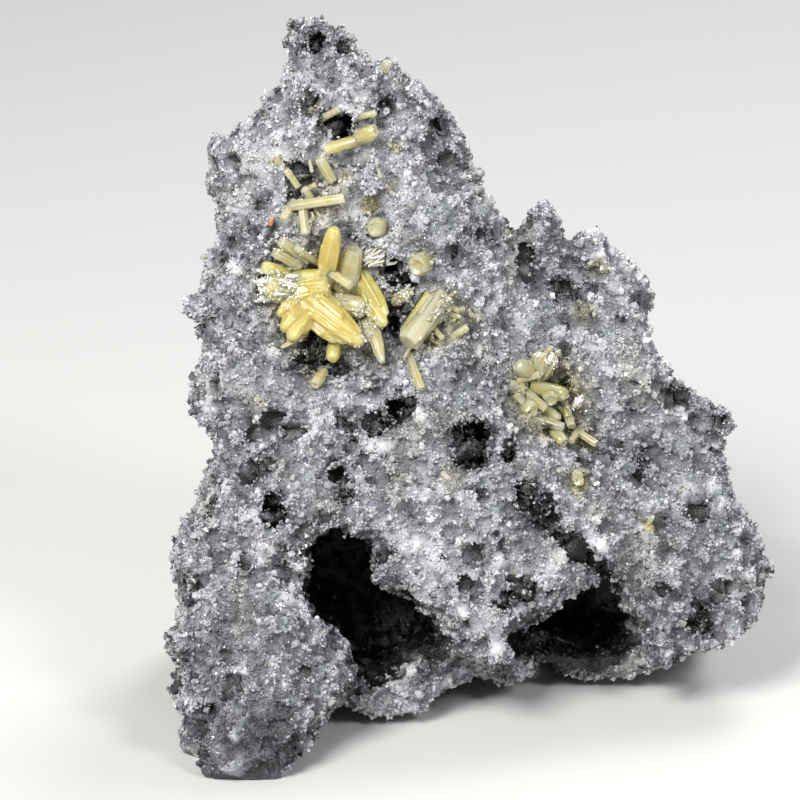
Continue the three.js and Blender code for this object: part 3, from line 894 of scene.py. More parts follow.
    def burst(self, burst: "Burst") -> list[Shape]:
        """Grows many thin crystals out of one place.

        Args:
            burst: the place, and how they spread.

        Returns:
            The thin crystals, in place.
        """
        pieces = []
        depth = self.face.depth(burst.across, burst.up)
        for _ in range(burst.count):
            root = np.array([burst.across, depth + burst.sink, burst.up])
            root += self.random.uniform(-1, 1, 3) * burst.room * np.array(burst.scatter)
            way = np.array([burst.toward[0], -burst.outward, burst.toward[1]])
            way += burst.spread * self.random.uniform(-1, 1, 3)
            way[1] = min(way[1], -burst.least_out)
            length = burst.length * self.random.uniform(*burst.lengths)
            tip = root + way / np.linalg.norm(way) * length
            width = burst.width * self.random.uniform(*burst.widths) * MM
            ends = self.face.place(*root), self.face.place(*tip)
            pieces.append(self._between(Habit.NEEDLE.value, width, *ends, burst.look))
        return pieces

    def fuse(self, pieces: Sequence[Shape], members: Sequence[Crystal]) -> Shape:
        """Fuses milky crystals that grew into each other in one skin.

        Args:
            pieces: the crystals.
            members: their places, along which the skin is striated.

        Returns:
            The fused crystals.
        """
        whole = join(pieces, "fused")
        apply_modifier(whole, "REMESH", mode="VOXEL", voxel_size=self.skin * MM)
        apply_modifier(whole, "SMOOTH", factor=0.5, iterations=self.smoothing)
        mesh = whole.data
        points = corners(mesh)
        nearest = np.full(len(points), np.inf)
        own = np.zeros_like(points)
        reach = np.zeros(len(points))
        for member in members:
            start, end = member.ends(self.face)
            axis = end - start
            side = axis.orthogonal().normalized()
            frame = np.array([side, axis.cross(side).normalized(), axis.normalized()])
            local = (points - np.array(start)) @ frame.T
            beyond = local[:, 2] - np.clip(local[:, 2], 0, axis.length)
            gap = np.linalg.norm(np.stack([local[:, 0], local[:, 1], beyond]), axis=0)
            nearer = gap / member.width < nearest
            nearest = np.where(nearer, gap / member.width, nearest)
            shifted = local + self.random.uniform(0, self.apart, 3) * MM
            own = np.where(nearer[:, None], shifted, own)
            reach = np.where(nearer, local[:, 2] / axis.length, reach)
        write_attribute(mesh, "own", "FLOAT_VECTOR", own)
        write_attribute(mesh, "along", "FLOAT", np.clip(reach, 0, 1))
        write_attribute(mesh, "section", "FLOAT_VECTOR", np.zeros_like(points))
        take(whole)
        bpy.ops.object.shade_smooth()
        return whole

    def _between(
        self, profile: Profile, width: float, start: Vector, end: Vector, look: CrystalFinish
    ) -> Shape:
        """Models a crystal and sets it between two points.

        Args:
            profile: its form.
            width: how wide it is, in metres.
            start: its base.
            end: its tip.
            look: its finish.

        Returns:
            The crystal, in place and with its finish.
        """
        piece = self.column(profile, width, (end - start).length)
        mesh = piece.data
        own = corners(mesh)
        reach = own[:, 2] / own[:, 2].max()
        section = np.zeros_like(own)
        if profile.sides == 6:
            shares, places = zip(*profile.rings, strict=True)
            half = np.interp(reach, places, shares) * width / 2
            section[:, :2] = own[:, :2] / half[:, None] / (1, profile.flat)
        write_attribute(mesh, "section", "FLOAT_VECTOR", section)
        own += self.random.uniform(0, self.apart, 3) * MM
        write_attribute(mesh, "own", "FLOAT_VECTOR", own)
        write_attribute(mesh, "along", "FLOAT", reach)
        turn = Matrix.Rotation(self.random.uniform(0, math.pi / 3), 4, "Z")
        stand = (end - start).to_track_quat("Z", "Y").to_matrix().to_4x4()
        mesh.transform(Matrix.Translation(start) @ stand @ turn)
        mesh.materials.append(bpy.data.materials.get(look.name) or look.make())
        take(piece)
        if profile.bevel or profile == Habit.NEEDLE.value:
            bpy.ops.object.shade_flat()
        else:
            bpy.ops.object.shade_smooth_by_angle(angle=math.radians(self.sharp))
        return piece


@dataclass(frozen=True)
class Burst:
    """Thin crystals that spread out of one place, in millimetres."""

    look: CrystalFinish
    across: float  # the place that they grow out of, with up
    up: float
    toward: tuple[float, float]  # the way that they lean along the face, as (across, up)
    length: float  # how long the longest is
    width: float  # how wide one is
    count: int
    room: float  # how far apart their roots stand
    sink: float = 0.2  # how deep the roots lie
    outward: float = 0.7  # how strongly they stand out of the face
    spread: float = 0.6  # how much their ways differ
    # how far the roots lie apart across, into and up, as shares of the room
    scatter: tuple[float, float, float] = (1.0, 0.3, 1.0)
    least_out: float = 0.15  # how much each stands out of the face at least
    lengths: tuple[float, float] = (0.6, 1.0)  # the least and the most of the length that one has
    widths: tuple[float, float] = (0.6, 1.2)  # the least and the most of the width that one has


@dataclass(frozen=True)
class CrystalGroup:
    """Crystals that grew together, in place of one solid of the frame."""

    node: str  # the solid's name, or their own where they have none
    members: tuple[Crystal, ...]
    bursts: tuple[Burst, ...] = ()
    slot: str = "pale_mimetite"  # the name of the record's slot for them
    fused: bool = False  # whether the milky ones grew into each other
    small: bool = False  # whether they are too small to have a solid

    def build(self, maker: CrystalMaker) -> Shape:
        """Grows the group and fastens it in the frame.

        Args:
            maker: grows the crystals.

        Returns:
            The group, as one piece.
        """
        pieces = [piece for member in self.members for piece in maker.grow(member)]
        for burst in self.bursts:
            pieces += maker.burst(burst)
        if self.fused:
            milky = [piece for piece in pieces if piece.data.materials[0].name == HONEY.name]
            others = [piece for piece in pieces if piece not in milky]
            bodies = [member for member in self.members if member.look is HONEY]
            pieces = [maker.fuse(milky, bodies), *others]
        whole = join(pieces, f"{self.node}_crystals")
        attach(whole, BODY)
        if not self.small:
            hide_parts(self.node)
        return whole


def grown(*rows: tuple) -> tuple[Crystal, ...]:
    """Lists crystals, each a row of its values in order."""
    return tuple(Crystal(*row) for row in rows)


PRISM, BLADE, ROUNDED, CHISEL = Habit.PRISM, Habit.BLADE, Habit.ROUNDED, Habit.CHISEL
SPINDLE, BARREL, SPATULA = Habit.SPINDLE, Habit.BARREL, Habit.SPATULA

CRYSTAL_GROUPS: tuple[CrystalGroup, ...] = (
    CrystalGroup("main_spray", grown(
        (HONEY, (-6.2, 38.5), (-5.2, 43.9), 1.7, 0.8, 1.9, SPATULA, 5),
        (HONEY, (-8.4, 39.0), (-3.0, 34.7), 2.4, 0.3, 1.9, SPINDLE, 12),
        (HONEY, (-7.8, 39.8), (-4.0, 36.2), 1.5, 0.4, 1.5, CHISEL, 4),
        (HONEY, (-8.6, 38.4), (-5.0, 34.9), 1.6, 0.4, 1.4, CHISEL, 4),
        (HONEY, (-7.0, 38.6), (-10.9, 39.3), 2.0, 0.5, 0.9, ROUNDED, 16),
        (HONEY, (-7.2, 39.1), (-9.7, 37.0), 1.5, 0.4, 0.9, CHISEL, 3),
        (HONEY, (-7.1, 38.9), (-9.3, 35.8), 1.9, 0.4, 1.1, CHISEL, 4),
        (HONEY, (-7.2, 38.8), (-8.6, 35.0), 1.9, 0.4, 1.2, CHISEL, 4),
        (HONEY, (-6.9, 38.4), (-7.7, 35.6), 1.8, 0.4, 1.0, CHISEL, 3),
        (HONEY, (-7.2, 39.2), (-10.9, 40.9), 1.3, 0.6, 0.6, ROUNDED, 4),
        (HONEY, (-3.8, 40.8), (-1.2, 36.1), 1.5, 0.9, 1.5, CHISEL, 8),
        (HONEY, (-3.1, 40.9), (-1.0, 37.0), 0.9, 0.8, 1.4, CHISEL, 3),
        (HONEY, (-4.2, 40.2), (-1.9, 36.6), 1.1, 0.9, 1.2, CHISEL, 3),
        (HONEY, (-9.3, 38.4), (-5.6, 39.2), 2.2, 0.6, 1.1, ROUNDED, 8),
        (HONEY, (-8.9, 37.5), (-5.9, 37.0), 2.2, 0.7, 1.3, ROUNDED, 8),
        (HONEY, (-8.6, 39.9), (-6.2, 40.0), 1.5, 0.5, 0.8, ROUNDED, 1),
        (SILKY, (-2.5, 37.2), (-1.4, 33.2), 1.2, 0.1, 0.9, SPINDLE, 2),
        (SILKY, (-6.2, 40.9), (-8.2, 42.3), 0.6, 0.5, 1.1, PRISM),
        (SILKY, (-5.9, 40.6), (-3.9, 39.3), 0.8, -0.5, 2.2, PRISM),
        (SILKY, (-4.6, 38.2), (-3.7, 42.3), 2.0, 0.9, 0.5, BARREL, 3),
        (SILKY, (-6.2, 38.2), (-2.6, 37.6), 1.8, 0.7, 0.9, ROUNDED, 3),
        (GLASSY, (-7.4, 41.4), (-9.5, 42.9), 1.0, 0.5, 0.6, PRISM, 1),
        (GLASSY, (-8.0, 40.9), (-10.0, 42.0), 0.9, 0.5, 0.6, PRISM),
        (SILKY, (-7.4, 35.6), (-9.4, 34.4), 0.9, 0.3, 0.7, BLADE),
        (SILKY, (-6.0, 32.5), (-6.8, 31.4), 1.0, 0.4, 0.6, BARREL),
        (HONEY, (-5.0, 35.6), (-5.4, 33.4), 1.2, 0.4, 0.7, ROUNDED),
        (SILKY, (-2.9, 36.9), (-2.3, 35.2), 0.8, 0.4, 0.9, PRISM),
    ), (
        Burst(FROSTED, -8.6, 39.3, (-1.2, 0.1), 2.6, 0.34, 70, 1.0, outward=0.5, spread=0.3),
        Burst(SILKY, -4.6, 38.9, (0.2, 0.3), 1.4, 0.32, 10, 0.8, outward=0.4),
        Burst(FROSTED, -2.3, 41.7, (1.0, 0.5), 2.0, 0.18, 60, 0.8, outward=0.3, spread=0.4),
        Burst(SILKY, -3.4, 36.4, (0.3, -0.4), 1.2, 0.3, 10, 0.5, outward=0.4),
    ), slot="honey_mimetite", fused=True),
    CrystalGroup("long_prism_group", grown(
        (SILKY, (-8.9, 45.6), (-4.4, 46.3), 0.85, 0.0, 0.9, PRISM),
        (SILKY, (-8.4, 46.1), (-9.3, 44.6), 0.7, 0.2, 0.7, PRISM),
        (SILKY, (-7.9, 46.2), (-7.5, 43.4), 0.8, 0.3, 0.5, PRISM),
        (SILKY, (-6.9, 45.9), (-7.6, 47.1), 0.7, 0.5, 0.6, PRISM),
        (SILKY, (-7.8, 46.8), (-6.7, 47.4), 0.45, 0.1, 0.7, PRISM),
    ), (
        Burst(SILKY, -7.0, 45.0, (-0.1, -0.9), 1.3, 0.24, 7, 0.6),
    )),
    CrystalGroup("upper_prism_pair", grown(
        (SILKY, (-3.2, 51.0), (-6.1, 50.1), 1.0, 0.2, 0.9, ROUNDED),
        (SILKY, (-3.7, 50.9), (-1.9, 51.7), 1.3, 0.3, 0.9, BARREL),
    )),
    CrystalGroup("top_prism", grown(
        (SILKY, (-6.4, 52.6), (-4.8, 53.4), 0.6, 0.2, 0.6, PRISM),
    )),
    CrystalGroup("top_right_prism", grown(
        (SILKY, (-3.4, 52.8), (-1.9, 53.1), 0.55, 0.2, 0.5, PRISM),
    )),
    CrystalGroup("short_prism", grown(
        (SILKY, (-5.4, 47.7), (-6.4, 49.5), 0.95, 0.3, 0.6, PRISM),
    )),
    CrystalGroup("shadowed_prism", grown(
        (SILKY, (-8.1, 47.2), (-9.1, 48.6), 0.6, 0.2, 0.5, PRISM),
    )),
    CrystalGroup("upper_end_on_barrel", grown(
        (SILKY, (-1.6, 44.2), (-2.0, 43.9), 1.7, 0.8, 1.0, BARREL),
    )),
    CrystalGroup("right_end_on_barrel", grown(
        (SILKY, (2.1, 41.5), (1.3, 40.8), 1.9, 0.9, 1.2, BARREL, 3),
    ), slot="honey_mimetite"),
    CrystalGroup("stout_prism_group", grown(
        (SILKY, (3.4, 38.6), (0.6, 34.8), 2.0, 0.7, 1.1, PRISM, 12),
        (HONEY, (2.3, 38.7), (0.2, 35.6), 0.7, 0.0, 1.0, PRISM),
        (GLASSY, (3.7, 38.0), (1.9, 35.4), 1.0, 0.5, 1.0, CHISEL, 4),
        (GLASSY, (1.3, 35.4), (0.3, 33.5), 0.9, 0.4, 0.5, BLADE),
        (GLASSY, (0.7, 33.9), (1.7, 31.1), 0.8, 0.3, 0.6, PRISM),
        (GLASSY, (2.4, 36.3), (3.4, 35.1), 0.5, 0.1, 0.9, PRISM),
    ), (
        Burst(GLASSY, 3.2, 37.6, (0.4, 0.1), 1.7, 0.4, 18, 0.8, sink=0.4),
        Burst(GLASSY, 2.6, 35.3, (0.5, -0.5), 1.3, 0.3, 12, 0.6),
    ), slot="honey_mimetite"),
    CrystalGroup("side_prism", grown(
        (GLASSY, (4.1, 35.2), (5.4, 36.1), 0.65, 0.2, 0.6, PRISM),
    )),
    CrystalGroup("pale_stub", grown(
        (GLASSY, (-0.5, 38.1), (0.8, 38.9), 1.1, 0.5, 0.7, BARREL),
    ), (
        Burst(GLASSY, 0.1, 38.3, (0.5, 0.3), 1.1, 0.24, 10, 0.4),
    )),
    CrystalGroup("right_pocket_crust", grown(
        (GLASSY, (10.5, 32.2), (9.6, 33.0), 1.6, 0.6, 0.8, BARREL),
        (GLASSY, (10.6, 31.9), (11.4, 34.1), 1.5, 0.6, 0.5, BLADE, 2),
        (GLASSY, (11.2, 31.8), (12.5, 33.7), 1.2, 0.6, 0.6, BLADE, 2),
        (GLASSY, (9.4, 31.7), (11.2, 32.3), 0.6, 0.3, 0.9, PRISM),
        (GLASSY, (9.5, 31.4), (11.7, 29.5), 0.8, 0.3, 0.9, PRISM),
        (GLASSY, (9.2, 30.7), (10.9, 29.0), 0.7, 0.3, 0.6, PRISM),
        (GLASSY, (10.4, 31.3), (13.5, 30.6), 1.3, 0.6, 0.9, ROUNDED),
        (GLASSY, (11.9, 31.0), (12.1, 30.2), 1.4, 0.6, 1.2, BARREL),
        (GLASSY, (10.0, 30.0), (10.6, 29.3), 1.5, 0.6, 0.8, BARREL),
        (GLASSY, (13.2, 30.0), (13.8, 28.1), 0.8, 0.3, 0.7, PRISM),
        (HONEY, (13.1, 29.9), (13.5, 28.9), 0.45, 0.2, 0.9, PRISM),
        (GLASSY, (10.4, 28.9), (13.1, 28.0), 0.9, 0.3, 0.7, PRISM),
        (GLASSY, (11.5, 29.6), (12.8, 28.6), 1.0, 0.4, 0.6, ROUNDED),
        (GLASSY, (12.2, 27.7), (13.2, 26.8), 1.1, 0.4, 0.6, BARREL),
        (GLASSY, (14.0, 27.9), (15.8, 26.7), 0.7, 0.3, 0.5, PRISM),
        (GLASSY, (14.5, 28.0), (13.7, 26.9), 0.6, 0.3, 0.5, PRISM),
        (FROSTED, (11.7, 32.9), (12.3, 33.9), 1.0, 0.3, 0.8, BLADE, 2),
        (FROSTED, (13.9, 29.7), (14.6, 30.4), 1.0, 0.3, 0.7, BLADE, 2),
    ), (
        Burst(GLASSY, 11.6, 33.0, (0.2, 0.8), 1.3, 0.34, 14, 0.8, outward=0.4),
        Burst(GLASSY, 12.9, 29.6, (0.4, -0.7), 1.3, 0.34, 10, 0.8, outward=0.4),
    )),
    CrystalGroup("stray", grown(
        (SILKY, (-7.2, 49.3), (-7.0, 48.4), 0.35, 0.1, 0.5, PRISM),
        (SILKY, (-1.9, 49.1), (-1.5, 47.9), 0.35, 0.1, 0.5, PRISM),
        (GLASSY, (-1.3, 56.5), (-1.0, 57.2), 0.9, 0.3, 0.2, PRISM),
        (GLASSY, (19.5, 19.7), (20.4, 21.0), 0.5, 0.2, 0.4, BLADE),
        (GLASSY, (13.9, 24.6), (14.4, 23.4), 1.1, 0.4, 0.1, BLADE, 3),
        (RUSTY, (-10.3, 44.2), (-10.2, 44.7), 0.35, 0.1, 0.35, PRISM),
    ), small=True),
)


# ---- The rock -------------------------------------------------------------------------------
@dataclass(frozen=True)
class Zone:
    """A round place on the front, in millimetres, and how strongly it differs."""

    across: float
    up: float
    radius: float
    strength: float = 1.0


ZONE_FULL = 0.55  # how far out a zone is full, in radii
ZONE_END = 1.25  # where it ends
TRAIL_STEP = 0.7  # how far apart the zones of a trail lie


def listed(*rows: tuple[float, ...]) -> tuple[Zone, ...]:
    """Lists zones, each a row of its values in order."""
    return tuple(Zone(*row) for row in rows)


def zone_share(places: np.ndarray, front: np.ndarray, zones: Sequence[Zone]) -> np.ndarray:
    """How far each point belongs to some zones of the front.

    Args:
        places: rows of across, into and up.
        front: how much each point is part of the front, from 0 to 1.
        zones: the zones.

    Returns:
        One number for each point.
    """
    total = np.zeros(len(places))
    for zone in zones:
        gap = np.hypot(places[:, 0] - zone.across, places[:, 2] - zone.up) / zone.radius
        total = np.maximum(total, zone.strength * smooth(-gap, -ZONE_END, -ZONE_FULL))
    return total * front


def within(places: np.ndarray, outline: Sequence[tuple[float, float]]) -> np.ndarray:
    """Says of each point whether it lies inside an outline drawn on the front.

    Args:
        places: rows of across, into and up.
        outline: the outline's corners, as (across, up).

    Returns:
        True or False for each point.
    """
    across, up = places[:, 0], places[:, 2]
    inside = np.zeros(len(places), bool)
    for (x0, y0), (x1, y1) in pairwise((*outline, outline[0])):
        if y0 != y1:
            spans = (y0 > up) != (y1 > up)
            inside ^= spans & (across < x0 + (up - y0) * (x1 - x0) / (y1 - y0))
    return inside


def trail(stops: Sequence[tuple[float, float]], radius: float) -> tuple[Zone, ...]:
    """Lines up zones along a broken line.

    Args:
        stops: the line's corners, as (across, up).
        radius: the zones' radius.

    Returns:
        The zones.
    """
    zones = []
    for start, end in pairwise(stops):
        steps = max(1, round(math.dist(start, end) / (TRAIL_STEP * radius)))
        for i in range(steps + 1):
            place = (a + (b - a) * i / steps for a, b in zip(start, end, strict=True))
            zones.append(Zone(*place, radius))
    return tuple(zones)


# The mouths of the two caves, as (across, up).
CAVE_MOUTHS = (
    (
        (-7.6, 20.3), (-5.2, 20.5), (-3.0, 20.0), (-2.6, 18.4), (-2.1, 17.6), (-2.2, 15.7),
        (-0.3, 14.8), (1.4, 14.1), (2.9, 12.6), (3.4, 10.6), (4.2, 9.3), (2.6, 9.3), (1.0, 9.6),
        (0.0, 8.5), (-1.8, 7.4), (-4.0, 6.4), (-5.1, 5.7), (-3.4, 8.2), (-3.8, 10.2),
        (-5.0, 11.8), (-6.6, 12.6), (-7.8, 13.9), (-7.4, 15.7), (-7.2, 17.4), (-7.5, 19.0),
    ),
    (
        (8.6, 11.5), (10.2, 11.5), (11.6, 12.3), (12.8, 13.3), (14.4, 14.1), (16.0, 14.8),
        (17.5, 12.0), (19.8, 10.3), (18.4, 9.3), (17.3, 8.5), (15.8, 7.9), (14.2, 7.8),
        (12.8, 8.5), (11.2, 8.8), (9.6, 9.3), (8.6, 9.6),
    ),
)

# Small pits, darkened by painted shade.
PITS = (
    listed(
        (-6.8, 58.7, 0.8), (-5.2, 52.0, 0.7), (-8.4, 48.2, 0.5), (-0.4, 54.5, 0.7),
        (-0.1, 40.3, 0.9), (-0.6, 38.2, 0.6), (-0.6, 36.2, 0.9), (-0.2, 35.2, 0.7),
        (-6.9, 34.7, 1.0), (-5.6, 33.0, 0.8), (-7.6, 33.4, 0.5), (-0.1, 29.8, 0.8),
        (-4.6, 28.8, 0.6), (-2.0, 28.1, 0.6), (6.2, 27.5, 0.8), (6.0, 26.2, 0.8), (5.6, 24.6, 0.7),
        (8.7, 26.0, 0.6), (-4.7, 23.9, 0.6), (-10.0, 21.8, 0.6), (10.2, 41.6, 0.8),
        (12.6, 39.6, 0.7), (19.6, 25.3, 0.5), (19.4, 24.2, 0.4), (9.2, 14.6, 0.45),
        (24.2, 12.8, 0.7), (-7.5, 3.0, 0.6), (-9.4, 28.5, 0.45), (-11.2, 27.9, 0.45),
        (-8.7, 27.4, 0.4), (-10.1, 26.0, 0.45), (-4.5, 27.0, 0.5), (-11.2, 24.6, 0.5),
        (-5.8, 25.0, 0.4), (-12.0, 17.4, 0.45), (-9.1, 16.9, 0.4), (-15.0, 31.5, 0.5),
        (6.3, 22.2, 0.4), (6.0, 18.3, 0.32), (8.2, 18.3, 0.45), (7.8, 13.6, 0.45),
        (11.7, 14.2, 0.5), (17.4, 26.5, 0.5), (3.9, 41.5, 0.4), (-12.4, 44.5, 0.5),
        (-10.2, 44.0, 0.4), (-8.5, 47.0, 0.45), (-8.4, 49.0, 0.5), (-7.5, 53.9, 0.4),
        (-1.1, 54.0, 0.4), (-4.2, 49.8, 0.4, 0.7),
    )
    + trail(((8.8, 14.8), (10.2, 13.8)), 0.4)
    + trail(((5.4, 28.0), (6.0, 26.0)), 0.8)
)

# Long cracks, darkened by painted shade.
CRACKS = (
    trail(((9.6, 22.9), (10.5, 21.6), (11.4, 20.6), (12.3, 19.8)), 0.36)
    + trail(((12.3, 19.8), (14.5, 17.9), (16.3, 16.6), (16.5, 15.4)), 0.31)
)

# Round milky lumps.
LUMPS = listed(
    (-8.0, 17.0, 0.72), (-8.2, 15.7, 0.72), (-11.0, 15.2, 0.56), (-9.0, 18.4, 0.56),
    (-10.6, 18.6, 0.6), (-11.5, 21.0, 0.6), (-7.3, 20.6, 0.4), (-7.8, 21.0, 0.4),
    (-15.1, 22.9, 0.64), (-15.2, 30.5, 0.5), (-15.3, 29.4, 0.72), (-5.8, 28.8, 0.7),
    (-12.0, 26.2, 0.6), (-2.0, 26.5, 0.72), (-6.7, 24.6, 0.5), (7.8, 10.6, 0.96), (6.2, 9.8, 0.7),
    (-0.4, 43.8, 0.75), (1.6, 44.5, 0.75), (-4.2, 45.0, 0.8), (-6.0, 44.5, 0.7), (3.2, 19.1, 0.4),
    (3.5, 18.0, 0.48),
)

# Places where the quartz is whiter; a few of them are painted highlights, where glints fall.
WHITE_AND_GLINT_ZONES = listed(
    (-2.8, 41.4, 0.9), (-1.2, 42.8, 0.9), (3.6, 37.9, 1.3), (4.6, 39.9, 1.0), (12.2, 33.4, 0.8),
    (14.4, 30.1, 0.7), (-9.9, 43.0, 0.8), (-8.6, 39.3, 1.0), (18.8, 41.2, 1.2, 0.7),
    (3.4, 19.0, 0.6), (4.0, 16.5, 5.5, 0.6), (2.0, 21.5, 4.4, 0.5), (10.4, 17.0, 3.0, 0.35),
    (-3.6, 29.4, 3.4, 0.8), (17.0, 34.0, 5.0, 0.4), (-1.8, 41.6, 1.3), (-6.0, 49.0, 7.5, 0.7),
    (8.0, 38.5, 4.4, 0.65), (2.5, 18.5, 3.5, 0.9), (-7.9, 16.9, 0.6), (-10.5, 18.3, 0.9, 0.8),
    (-12.0, 21.2, 0.7, 0.8), (-2.0, 26.4, 0.9, 0.8), (-15.2, 29.4, 0.9, 0.7),
    (1.6, 26.4, 1.2, 0.6),
)

# Places that yellow-green mimetite has stained.
STAIN_ZONES = listed(
    (14.9, 37.2, 1.1, 0.6), (16.1, 40.9, 1.0, 0.6), (14.2, 23.8, 1.2, 0.8), (20.2, 20.2, 0.6, 0.8),
    (15.0, 27.0, 0.9, 0.8), (-6.8, 32.4, 1.1, 0.5), (12.0, 30.4, 3.8, 0.75),
    (-6.6, 38.6, 4.8, 0.6), (3.0, 36.6, 2.6, 0.65), (-6.6, 46.4, 3.2, 0.3), (4.2, 24.2, 1.2, 0.4),
    (-11.4, 30.0, 1.0, 0.4), (-9.8, 49.3, 0.5, 0.7), (-4.4, 48.1, 0.6, 0.7),
    (-0.4, 50.4, 0.6, 0.7), (-0.6, 47.3, 0.7, 0.6), (-2.4, 45.8, 0.9, 0.9), (-7.0, 53.6, 0.6, 0.6),
    (19.9, 20.3, 0.5, 0.9), (5.6, 36.8, 1.2, 0.5),
)

# Places where the rock is darker and bluer; those on the ledges under the caves and at the foot
# are partly painted shade.
DARK_AND_SHADED_ZONES = listed(
    (-11.6, 2.0, 5.2, 1.4), (-12.5, 9.5, 6.0, 0.4), (-11.5, 27.5, 3.6, 0.3),
    (-7.2, 59.6, 2.2, 0.3), (5.8, 26.0, 2.6, 0.45), (-0.2, 30.0, 1.4, 0.5), (-0.6, 7.0, 3.8, 1.6),
    (13.0, 9.0, 5.0, 0.8),
)

# Places where the rock is broken and bare.
BARE_ZONES = listed((-11.4, 3.6, 3.4, 0.85), (-12.4, 12.5, 2.0, 0.5))

# Places under the overhangs, in deep shade.
SHADED_ZONES = listed((10.5, 8.0, 2.2, 0.93), (13.5, 8.2, 2.4, 0.95), (16.6, 8.9, 2.2, 0.9))

# Places on the crystals that small white points have settled on.
FROST_ZONES = listed(
    (-10.2, 39.2, 1.6), (-8.9, 38.8, 1.4), (-2.9, 37.4, 0.9), (-2.2, 36.4, 0.8),
    (-3.2, 34.9, 0.8, 0.5), (-7.4, 42.6, 0.8), (-9.5, 42.9, 0.9, 0.8), (0.4, 38.4, 1.0),
    (3.4, 37.6, 1.0, 0.6), (-6.0, 38.4, 1.4, 0.3), (12.4, 33.6, 0.9), (14.2, 30.1, 0.9),
    (-6.0, 50.1, 0.5, 0.7),
)


# The quartz's tone, from 0 to 1: its middle, how far it drifts, how much lighter the back is
# painted as painted light, how much its nodules differ, and how much white places (some of
# them painted glints), bald places and dark places (some of them painted shade) change it.
MIDDLE_TONE = 0.53
DRIFT, FINE_DRIFT = 0.08, 0.07
BACK_PAINTED_LIGHT, DRIFT_BEHIND = 0.05, 0.12
NODULE_TONES = 0.3
WHITER, BALDER, DARKER = 0.27, 0.12, 0.3
# How much painted shade darkens the hollows, the caves, the gaps and the feet of the nodules.
HOLLOW_SHADE, CAVE_SHADE, GAP_SHADE, FOOT_SHADE = 0.82, 0.95, 0.4, 0.3
FAINT_STAIN = 0.22
SHADED_UNDER_CRUST = 0.45  # the share of its tone that the block keeps under its crust, as painted shade between the grains
# From which value of its noise or its height each of these starts, and where it is full.
FAINT_SPAN, GAP_SPAN, FOOT_SPAN = (0.25, 0.7), (0.3, 0.9), (0.0, 0.5)
BALD_SPAN, BALD_TOP_SPAN = (0.90, 0.94), (0.1, 0.4)
PITTED_SPAN, PIT_EDGE_SPAN, DENT_SPAN = (0.6, 1.15), (0.2, 0.8), (-0.1, 0.7)
# How strongly the finer noise of two says where the rock is pitted, and how hollow that is.
FINE_PITTING, PITTED_DEPTH = 0.9, 0.6
RAGGED = 0.6  # how far the edges of pits and caves stray, in millimetres
TORN, TORN_FINE = 1.1, 0.5  # how far the edges of pits stray besides
PIT_EDGE = 0.9  # how strongly noise eats into those edges
CRACK_RAGGED = 0.3  # how much of that straying the cracks take
LEAST_NODULE = 0.2  # how high the lowest nodule stands, beside the highest


@dataclass
class Ground:
    """What the rock is like at each corner of its mesh."""

    points: np.ndarray  # rows of metres
    normals: np.ndarray
    places: np.ndarray  # rows of across, into and up, in millimetres
    front: np.ndarray  # how much each point is part of the front
    hollow: np.ndarray  # how much it lies in a hollow
    cave: np.ndarray  # how much it lies in a cave
    milky: np.ndarray  # how much it is part of a bald milky lump
    lump: np.ndarray  # how high it stands on a nodule
    number: np.ndarray  # the nodule's own number
    open: np.ndarray  # how much of the sky it sees

    def bald(self) -> np.ndarray:
        """How bare and milky each point is."""
        few = smooth(self.number, *BALD_SPAN) * smooth(self.lump, *BALD_TOP_SPAN)
        return np.maximum(self.milky, few * (1 - self.hollow))

    def tone(self) -> np.ndarray:
        """Says how light the quartz is.

        Returns:
            One number for each point.
        """
        drift = DRIFT * swell(self.places, Swell.DRIFT)
        drift = drift + FINE_DRIFT * swell(self.places, Swell.DRIFT_FINE)
        # The back is painted a little lighter than the front, as painted light, and drifts at
        # random besides.
        back_light_and_drift = BACK_PAINTED_LIGHT + DRIFT_BEHIND * swell(self.places, Swell.DRIFT_BEHIND)
        drift = drift + back_light_and_drift * (1 - self.front)
        white = zone_share(self.places, self.front, WHITE_AND_GLINT_ZONES)
        dark = zone_share(self.places, self.front, DARK_AND_SHADED_ZONES)
        light = np.maximum(WHITER * white, BALDER * self.bald())
        return MIDDLE_TONE + drift + NODULE_TONES * (self.number - 0.5) + light - DARKER * dark

    def stained(self) -> np.ndarray:
        """How much each point is stained."""
        faint = FAINT_STAIN * smooth(swell(self.places, Swell.STAINS), *FAINT_SPAN)
        return np.clip(zone_share(self.places, self.front, STAIN_ZONES) + faint, 0, 1)

    def shade(self) -> np.ndarray:
        """Says how much painted shade darkens the quartz, in its hollows, caves and gaps.

        Returns:
            One number for each point, 1 where nothing darkens it.
        """
        # Painted shade: in random gaps, at the feet of nodules, in hollows and caves, and where
        # the block hides the sky.
        gaps = swell(self.places, Swell.GAPS) + 0.5 * swell(self.places, Swell.GAPS_BROAD)
        foot = FOOT_SHADE * (1 - smooth(self.lump, *FOOT_SPAN)) * (1 - self.milky)
        low = 1 - foot - GAP_SHADE * smooth(gaps, *GAP_SPAN)
        deep = (1 - HOLLOW_SHADE * self.hollow) * (1 - CAVE_SHADE * self.cave)
        return np.clip(self.open, 0, 1) * low * deep


